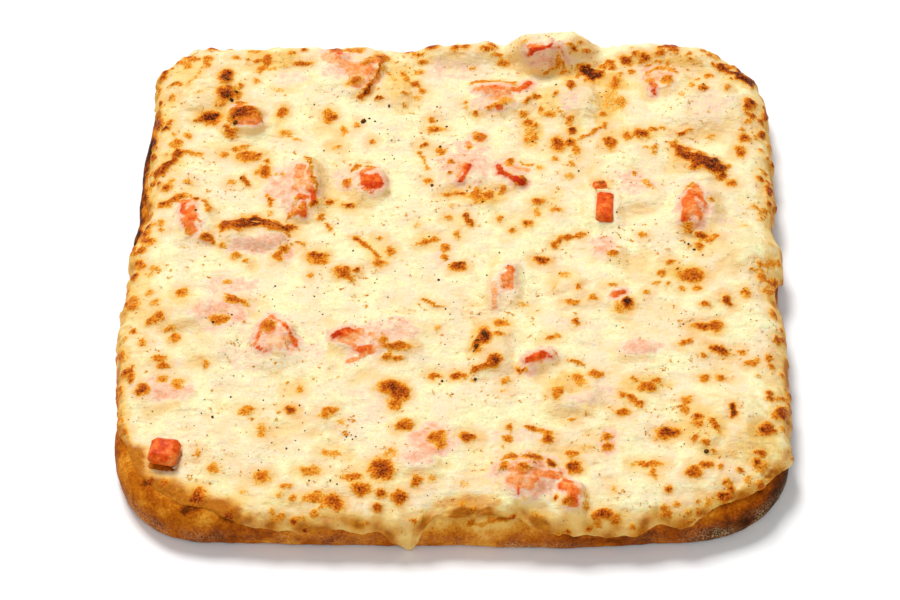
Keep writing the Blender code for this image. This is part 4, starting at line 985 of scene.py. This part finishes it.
write_field(mesh, "halo", halo)
# The crest field is high on crests and low in hollows and on steep flanks. The topping paints low
# places golden, and on steep flanks that golden is painted shade.
write_field(mesh, "crest_minus_flank_shade", 0.6 + 0.5 * ridges - 1.6 * (1 - np.abs(read_normals(mesh)[:, 2])))
blush, flesh, red = red_at(points, normals)
write_field(mesh, "blush", blush * (1 - bare_near))
write_field(mesh, "flesh", flesh * (1 - bare_near))
write_field(mesh, "red", red)
write_field(mesh, "chicken", chicken)
oil = eased(down, 0.0, 0.6) * (0.8 + 0.6 * lumps(points, 6 * MM, 29))
reach = np.interp(np.degrees(np.arctan2(ahead, across)), *zip(*BARE_CORNER))
past = np.hypot(across, ahead) / MM - reach + 1.5 * lumps(points, 3 * MM, 17)
oil = np.maximum(oil, np.where(corner > 0.02, eased(past, -6.5, 2.0), 0))
patchy = layered(points, (0.45, 7, 18), (0.3, 2.6, 34))
for x, y, length, width, turn, strength in GOLDS:
    far = spot_distance(across, ahead, x, y, length, width, turn) + patchy
    oil = np.maximum(oil, strength * (1 - eased(far, 0.4, 1.3)))
write_field(mesh, "oil", oil)
write_field(bread.data, "toast", toast_at(read_points(bread.data), read_normals(bread.data))[0])

# Cheese and the tomato that it films take their colour alike: cream, golden where it lies low
# or near a browned spot, and golden on steep flanks as painted warm shade, grey-tan over chicken
# and partly as painted shade on its lumps, pink to red over tomato, and then what the heat did to
# it: pale gold, orange-brown, brown and black, in grains with a ragged border.
TOPPING_FIELDS = ("crest_minus_flank_shade", "halo", "chicken", "blush", "flesh", "red", "oil", "toast")


def new_group(name, inputs, outputs):
    """An empty node group with its sockets, and the nodes that they come in and go out by."""
    group = bpy.data.node_groups.new(name, "ShaderNodeTree")
    for socket, kind in inputs:
        group.interface.new_socket(name=socket, in_out="INPUT", socket_type=kind)
    for socket, kind in outputs:
        group.interface.new_socket(name=socket, in_out="OUTPUT", socket_type=kind)
    return group, add_node(group, "NodeGroupInput"), add_node(group, "NodeGroupOutput")


def stretched(tree, place, scales):
    """The same place, with what is laid on it drawn out across where a scale is low."""
    sockets = {0: place, 1: scales}
    return add_node(tree, "ShaderNodeVectorMath", sockets, operation="MULTIPLY").outputs[0]


topping, given, result = new_group(
    "topping",
    [(name, "NodeSocketFloat") for name in TOPPING_FIELDS],
    (("Color", "NodeSocketColor"), ("Height", "NodeSocketFloat")),
)
place = add_node(topping, "ShaderNodeTexCoord").outputs["Object"]
broad = spread_between(topping, speckle(topping, place, 85.0, 4.0), 0.38, 0.60)
close = spread_between(topping, speckle(topping, place, 230.0, 4.0), 0.40, 0.66)
body = mixed(topping, broad, paint(255, 247, 196), paint(252, 230, 194))
body = mixed(topping, maths(topping, "MULTIPLY", close, 0.35), body, paint(250, 222, 164))
# Golden where the cheese lies low and thin, and painted warm shade where it turns steep
low = maths(topping, "SUBTRACT", 1.0, spread_between(topping, given.outputs["crest_minus_flank_shade"], 0.15, 0.6))
body = mixed(topping, maths(topping, "MULTIPLY", low, 0.75), body, paint(252, 208, 134))
body = mixed(topping, given.outputs["halo"], body, paint(242, 180, 92))
# Grey-tan over chicken lumps: partly the chicken's colour, partly painted shade on the lumps
body = mixed(topping, given.outputs["chicken"], body, paint(234, 200, 144))
blotch = centred(topping, place, 300.0, 4.0)
fibres = centred(topping, stretched(topping, place, (0.4, 1.3, 1.0)), 330.0, 4.0, 0.7)
crumbly = centred(topping, place, 950.0, 3.0)
streaky = maths(topping, "MULTIPLY_ADD", crumbly, 0.5, blotch)
streaky = maths(topping, "MULTIPLY_ADD", fibres, 0.3, streaky)
pale = maths(topping, "MULTIPLY", spread_between(topping, fibres, 0.02, 0.2), 0.25)
body = mixed(topping, pale, body, paint(251, 220, 164))
grit = maths(topping, "MULTIPLY", spread_between(topping, crumbly, -0.02, 0.12), 0.4)
body = mixed(topping, grit, body, paint(247, 212, 148))
blushed = spread_between(topping, given.outputs["blush"], 0.0, 0.3)
blushed = maths(topping, "MULTIPLY_ADD", streaky, blushed, given.outputs["blush"])
rosy = ramp(
    topping, blushed,
    (0.10, paint(253, 227, 198)), (0.30, paint(251, 206, 174)), (0.48, paint(247, 187, 150)),
    (0.7, paint(242, 150, 96)),
)
body = mixed(topping, spread_between(topping, blushed, 0.03, 0.30), body, rosy)
redness = maths(topping, "MULTIPLY_ADD", streaky, 1.05, given.outputs["red"])
flesh = ramp(
    topping, redness,
    (0.20, paint(250, 202, 158)), (0.40, paint(247, 170, 106)), (0.58, paint(242, 132, 54)),
    (0.78, paint(234, 92, 14)), (1.0, paint(202, 50, 0)),
)
ragged = maths(topping, "MULTIPLY_ADD", streaky, 0.7, given.outputs["flesh"])
body = mixed(topping, spread_between(topping, ragged, 0.16, 0.68), body, flesh)
oily = maths(topping, "MULTIPLY_ADD", blotch, 0.7, given.outputs["oil"])
golden = ramp(
    topping, oily,
    (0.2, paint(252, 222, 124)), (0.5, paint(244, 196, 80)), (0.8, paint(224, 152, 36)),
    (1.0, paint(190, 110, 14)),
)
wet = maths(topping, "MULTIPLY", given.outputs["oil"], spread_between(topping, oily, 0.1, 0.5))
body = mixed(topping, wet, body, golden)
grains = spread_between(topping, speckle(topping, place, 460.0, 3.0), 0.57, 0.70)
patches = spread_between(topping, speckle(topping, place, 55.0, 2.0), 0.44, 0.60)
patches = maths(topping, "MAXIMUM", patches, given.outputs["oil"])
freckles = maths(topping, "MULTIPLY", maths(topping, "MULTIPLY", grains, patches), 0.50)
toast_share = maths(topping, "MAXIMUM", given.outputs["toast"], freckles)
fine = maths(topping, "MULTIPLY", centred(topping, place, 1300.0, 2.0), 0.90)
uneven = maths(topping, "MULTIPLY_ADD", centred(topping, place, 420.0, 4.0), 0.70, fine)
room = maths(topping, "MINIMUM", maths(topping, "MULTIPLY", toast_share, 3.0), 1.0)
heat = maths(topping, "MULTIPLY_ADD", uneven, room, toast_share)
burnt = ramp(
    topping, heat,
    (0.16, paint(252, 216, 138)), (0.28, paint(247, 190, 88)), (0.40, paint(240, 162, 46)),
    (0.52, paint(230, 136, 22)), (0.64, paint(210, 106, 6)), (0.76, paint(180, 76, 0)),
    (0.88, paint(116, 42, 0)), (1.0, paint(38, 16, 4)),
)
darker = mixed(topping, 1.0, body, burnt, "DARKEN")
body = mixed(topping, spread_between(topping, heat, 0.06, 0.36), body, darker)
topping.links.new(body, result.inputs["Color"])
topping.links.new(heat, result.inputs["Height"])


def topped(tree, shader):
    """Colours a material by the shared group, and gives the relief of what heat marked."""
    fields = {name: field(tree, name) for name in TOPPING_FIELDS}
    painted = add_node(tree, "ShaderNodeGroup", fields, node_tree=topping)
    tree.links.new(painted.outputs["Color"], shader.inputs["Base Color"])
    return painted.outputs["Height"]


glow_radius = (3.2 * MM, 1.8 * MM, 0.7 * MM)
material, tree, shader = new_material("melted_cheese", 0.46, 0.0, 0.40, glow_radius)
place = add_node(tree, "ShaderNodeTexCoord").outputs["Object"]
height = maths(tree, "MINIMUM", topped(tree, shader), 0.9)
pits = maths(tree, "MULTIPLY", speckle(tree, place, 520.0, 5.0, 0.65), 0.9)
waves = speckle(tree, stretched(tree, place, (0.6, 1.3, 1.0)), 200.0, 4.0, 0.6)
height = maths(tree, "MULTIPLY_ADD", height, 0.8, pits)
height = maths(tree, "MULTIPLY_ADD", waves, 1.6, height)
tree.links.new(bumped(tree, height, 0.9 * MM), shader.inputs["Normal"])
cheese = new_piece("cheese_blanket", mesh, material, "melted_cheese", "cheese")

# Diced tomato: cubes and strips about a centimetre long, roasted among the cheese, so their
# edges are worn, their cut faces are wet, and melted cheese films most of them.
LONGEST_EDGE = 0.88 * MM
SPLIT_ROUNDS = 6
SMOOTH_ROUNDS = 36
# How deep a filmed piece stays under the surface of the cheese
FILM_DEPTH = 0.15 * MM

cheese_faces = [tuple(face.vertices) for face in cheese.data.polygons]
surface = BVHTree.FromPolygons(read_points(cheese.data).tolist(), cheese_faces)
glow_radius = (1.6 * MM, 0.5 * MM, 0.2 * MM)
material, tree, shader = new_material("roasted_tomato", 0.34, 0.05, 0.10, glow_radius)
topped(tree, shader)
place = add_node(tree, "ShaderNodeTexCoord").outputs["Object"]
tree.links.new(bumped(tree, speckle(tree, place, 900.0, 3.0), 0.5 * MM), shader.inputs["Normal"])

for name, *_, film in TOMATOES:
    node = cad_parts["tomato_" + name]
    shape = bmesh.new()
    shape.from_mesh(node.data)
    bmesh.ops.remove_doubles(shape, verts=shape.verts, dist=MERGE_WITHIN)
    for _ in range(SPLIT_ROUNDS):
        long_edges = [edge for edge in shape.edges if edge.calc_length() > LONGEST_EDGE]
        if not long_edges:
            break
        bmesh.ops.subdivide_edges(shape, edges=long_edges, cuts=1, use_grid_fill=True)
    bmesh.ops.triangulate(shape, faces=[face for face in shape.faces if len(face.verts) > 4])
    for _ in range(round(SMOOTH_ROUNDS * film)):
        bmesh.ops.smooth_vert(
            shape, verts=shape.verts, factor=0.5, use_axis_x=True, use_axis_y=True, use_axis_z=True,
        )
    mesh = finished_mesh("dice_" + name, shape)
    points = read_points(mesh)
    normals = read_normals(mesh)
    wear = layered(points, (0.25, 5, 30), (0.1, 1.8, 31))
    points = points + normals * (wear * MM)[:, None]
    if film > BARE_FILM:
        skies = [Vector((x, y, 1.0)) for x, y, _ in points.tolist()]
        hits = [surface.ray_cast(sky, Vector((0, 0, -1)))[0] for sky in skies]
        lids = np.array([hit.z - FILM_DEPTH if hit else 1.0 for hit in hits])
        points[:, 2] = np.minimum(points[:, 2], lids)
    write_points(mesh, points)
    toast, halo = toast_at(points, normals)
    write_field(mesh, "toast", toast)
    write_field(mesh, "halo", halo * 0.5)
    write_field(mesh, "crest_minus_flank_shade", np.full(len(points), 0.7))
    blush, flesh, red = red_at(points, normals)
    bare = 1 - film * 2.4 + 0.25 * lumps(points, 3 * MM, 32)
    write_field(mesh, "blush", blush)
    write_field(mesh, "flesh", np.maximum(flesh, bare + 0.3))
    # Painted light and shade on bare pieces: faces turned up are painted deeper red and their sides
    # paler orange
    write_field(mesh, "red", np.maximum(red, bare * (0.70 + 0.12 * normals[:, 2])))
    new_piece("dice_" + name, mesh, material, "roasted_tomato", "tomato_" + name)

# Ground pepper and burnt crumbs: grains up to 3 mm across, lying on the cheese or half sunk
# in it, thickest where the cheese browned most.
# The larger grains: x, y, size
PEPPER = (
    (-84.8, -80.3, 1.5), (-66.3, -105, 1.2), (-53.7, -73.8, 1), (-48, -109.3, 1.3),
    (9.9, -59.3, 1.8), (93.2, -92, 3), (-88.8, -33, 1.8), (-82, -29, 1), (-66.8, -13.7, 1.3),
    (-5, -8.8, 1.5), (-2.2, -60.6, 1.4), (10.3, -39.7, 2), (9.8, -42.6, 2.4), (9.2, -45.2, 1.8),
    (12.6, -36, 2.5), (-84.6, 45.3, 1.2), (-100.7, 26.7, 1.6), (-9.4, 14.5, 1), (-9.2, 43, 2),
    (-6.6, 65.5, 1.5), (10.8, 34.4, 1.5), (27.3, 23, 1.1), (2.8, 0.3, 1.4), (48.4, 52.8, 1.2),
    (92.5, 10, 1.8), (90.4, 13, 1.4), (85.8, -0.4, 1.3), (-94.9, 103.8, 3), (-90.7, 96, 3),
    (-94, 93.6, 2.2), (-92.1, 91, 2.7), (-90.2, 80.8, 2), (-89.3, 77.4, 2.6), (-38, 79.6, 3),
    (-35.6, 81.3, 1.5), (-33.3, 79.7, 1.3), (-28, 89.1, 1.5), (-8.6, 89.1, 1.3), (-58.3, 89.1, 1.2),
    (-8.3, 80.7, 1.2), (-4.4, 77.3, 1.5), (39.5, 103.8, 1.5), (30.2, 69.5, 1.3), (45, 70.2, 1.5),
    (99.6, 105.8, 1.4),
)
# Flecks about a millimetre across: x, y
FLECKS = (
    (-89, -78.6), (-91, -84.6), (-79, -70.4), (-67, -71.7), (-40.5, -109), (-38, -110.7),
    (-51, -86), (-54, -90.7), (-57, -94.6), (-62.5, -92), (-30.5, -84), (14, -61.5), (8.9, -71.7),
    (18, -77.7), (-67.3, -20.6), (-78.5, -43.4), (-78.8, -60), (-75.4, -60), (-29.2, -11),
    (-28.5, -9), (-24, -18.4), (-51.7, -18.7), (-48, -17), (-48, -28), (-36, -28.5), (-2, -24),
    (-0.3, -26.7), (13.2, -5.8), (40.7, -4.2), (10.6, -26.3), (62, -31), (86.5, -24), (87, -29.5),
    (63, -44), (65, -46.3), (70.7, -37), (-86, 34.5), (-52.8, 62), (-25.4, 59.8), (-28.6, 57.5),
    (-24.7, 57.8), (-17.8, 37), (-45, 20.8), (-38.3, 6), (-49.7, 29.5), (11, 39), (14.7, 40),
    (4.6, 40.3), (17.8, 6.5), (27, 6.8), (52, 18.3), (61.4, 18.4), (21.2, -0.4), (63.1, 30),
    (60.2, 3.6), (95.7, 7.2), (89, 14), (77.9, 26.1), (-105.7, 74.7), (-25.7, 109.4), (-31.1, 72.4),
    (-28, 75), (-26.1, 68.6), (-23.3, 68.8), (-17.2, 71.3), (59.8, 100.2), (57.3, 99.4), (55, 98),
    (58.1, 96.9), (52.6, 93.3), (64.5, 95.8), (38.4, 96.3), (-35.8, -88.5), (-34.2, -87.6),
    (-33.6, -89.6), (-36.3, -90), (-32.5, -88.3), (-34.9, -86.4),
)
PEPPER_SCALE = 0.76
DUST_COUNT = 650
# Sizes and patches of the finest grains, in millimetres
FLECK_SIZES = (0.5, 0.9)
DUST_SIZES = (0.3, 0.62)
DUST_PATCH = 22

source = random.Random(8)
shape = bmesh.new()
tints = []


def drop_grain(spot, facing, size, tint):
    """Adds one flattened, uneven grain that lies on a surface."""
    turn = facing.to_track_quat("Z", "Y").to_matrix()
    made = bmesh.ops.create_icosphere(shape, subdivisions=1, radius=0.5)["verts"]
    stretch = source.uniform(0.75, 1.35)
    spin = source.uniform(0, math.pi)
    for vert in made:
        rough = source.uniform(0.8, 1.2) * size * MM
        x, y, z = vert.co * rough
        x *= stretch
        across = x * math.cos(spin) - y * math.sin(spin)
        along = x * math.sin(spin) + y * math.cos(spin)
        vert.co = spot + turn @ Vector((across, along, z * 0.5 + 0.05 * size * MM))
        tints.append(tint)


def land(sight_x, sight_y):
    """Point and facing of the cheese that is seen at a place of the sight plane."""
    aim = Vector((sight_x * MM, sight_y * MM - SIGHT_START, SIGHT_Z))
    hit, facing, _, _ = surface.ray_cast(EYE, (aim - EYE).normalized())
    return hit, facing


for x, y, size in PEPPER:
    hit, facing = land(x, y)
    if hit:
        drop_grain(hit, facing, size * PEPPER_SCALE, source.uniform(0.0, 0.4))
for x, y in FLECKS:
    hit, facing = land(x, y)
    if hit:
        drop_grain(hit, facing, source.uniform(*FLECK_SIZES), source.uniform(0.15, 0.8))
placed = 0
while placed < DUST_COUNT:
    x, y = source.uniform(-126, 126), source.uniform(-126, 130)
    cluster = noise.noise(Vector((x / DUST_PATCH, y / DUST_PATCH, 4.2)))
    hit, facing = land(x, y)
    if hit is None or cluster < source.uniform(-0.5, 0.6):
        continue
    drop_grain(hit, facing, source.uniform(*DUST_SIZES), source.uniform(0.3, 1.0))
    placed += 1
mesh = finished_mesh("pepper", shape)
write_points(mesh, read_points(mesh))
write_field(mesh, "tint", np.array(tints))
material, tree, shader = new_material("pepper", 0.6, 0.0, 0.0, (MM, MM, MM))
place = add_node(tree, "ShaderNodeTexCoord").outputs["Object"]
crumbs = ramp(
    tree, field(tree, "tint"),
    (0.0, paint(52, 30, 6)), (0.3, paint(98, 62, 10)), (0.7, paint(150, 98, 20)),
    (1.0, paint(204, 144, 46)),
)
worn = maths(tree, "MULTIPLY", speckle(tree, place, 2500.0), 0.5)
tree.links.new(mixed(tree, worn, crumbs, paint(30, 18, 8)), shader.inputs["Base Color"])
tree.links.new(bumped(tree, speckle(tree, place, 3000.0), 0.2 * MM), shader.inputs["Normal"])
new_piece("pepper", mesh, material, "")

# The place where it was photographed: a plain pale floor under one large soft light high
# behind the left side, a weaker one in front, and weak light from all round.
FLOOR_HALF = 3.0
FLOOR_TONE = (0.97, 0.97, 0.97, 1.0)

floor_shape = bmesh.new()
bmesh.ops.create_grid(floor_shape, x_segments=1, y_segments=1, size=FLOOR_HALF)
floor_mesh = bpy.data.meshes.new("floor")
floor_shape.to_mesh(floor_mesh)
floor_shape.free()
floor = bpy.data.objects.new("floor", floor_mesh)
bpy.context.scene.collection.objects.link(floor)
floor_material = bpy.data.materials.new("floor")
floor_material.use_nodes = True
floor_shader = floor_material.node_tree.nodes["Principled BSDF"]
floor_shader.inputs["Base Color"].default_value = FLOOR_TONE
floor_shader.inputs["Roughness"].default_value = 0.9
floor_mesh.materials.append(floor_material)


def add_light(name, size, energy, location):
    """A square soft light that faces the pizza."""
    light = bpy.data.lights.new(name, "AREA")
    light.size = size
    light.energy = energy
    made = bpy.data.objects.new(name, light)
    made.location = location
    made.rotation_euler = (-Vector(location)).to_track_quat("-Z", "Y").to_euler()
    bpy.context.scene.collection.objects.link(made)


add_light("window", size=1.0, energy=73.0, location=(-0.70, 1.40, 2.45))
add_light("fill", size=1.6, energy=22.0, location=(0.2, -2.0, 2.2))
world = bpy.data.worlds.new("studio")
world.use_nodes = True
background = world.node_tree.nodes["Background"]
background.inputs["Color"].default_value = (1, 1, 1, 1)
background.inputs["Strength"].default_value = 0.32
bpy.context.scene.world = world
bpy.context.scene.view_settings.view_transform = "Standard"
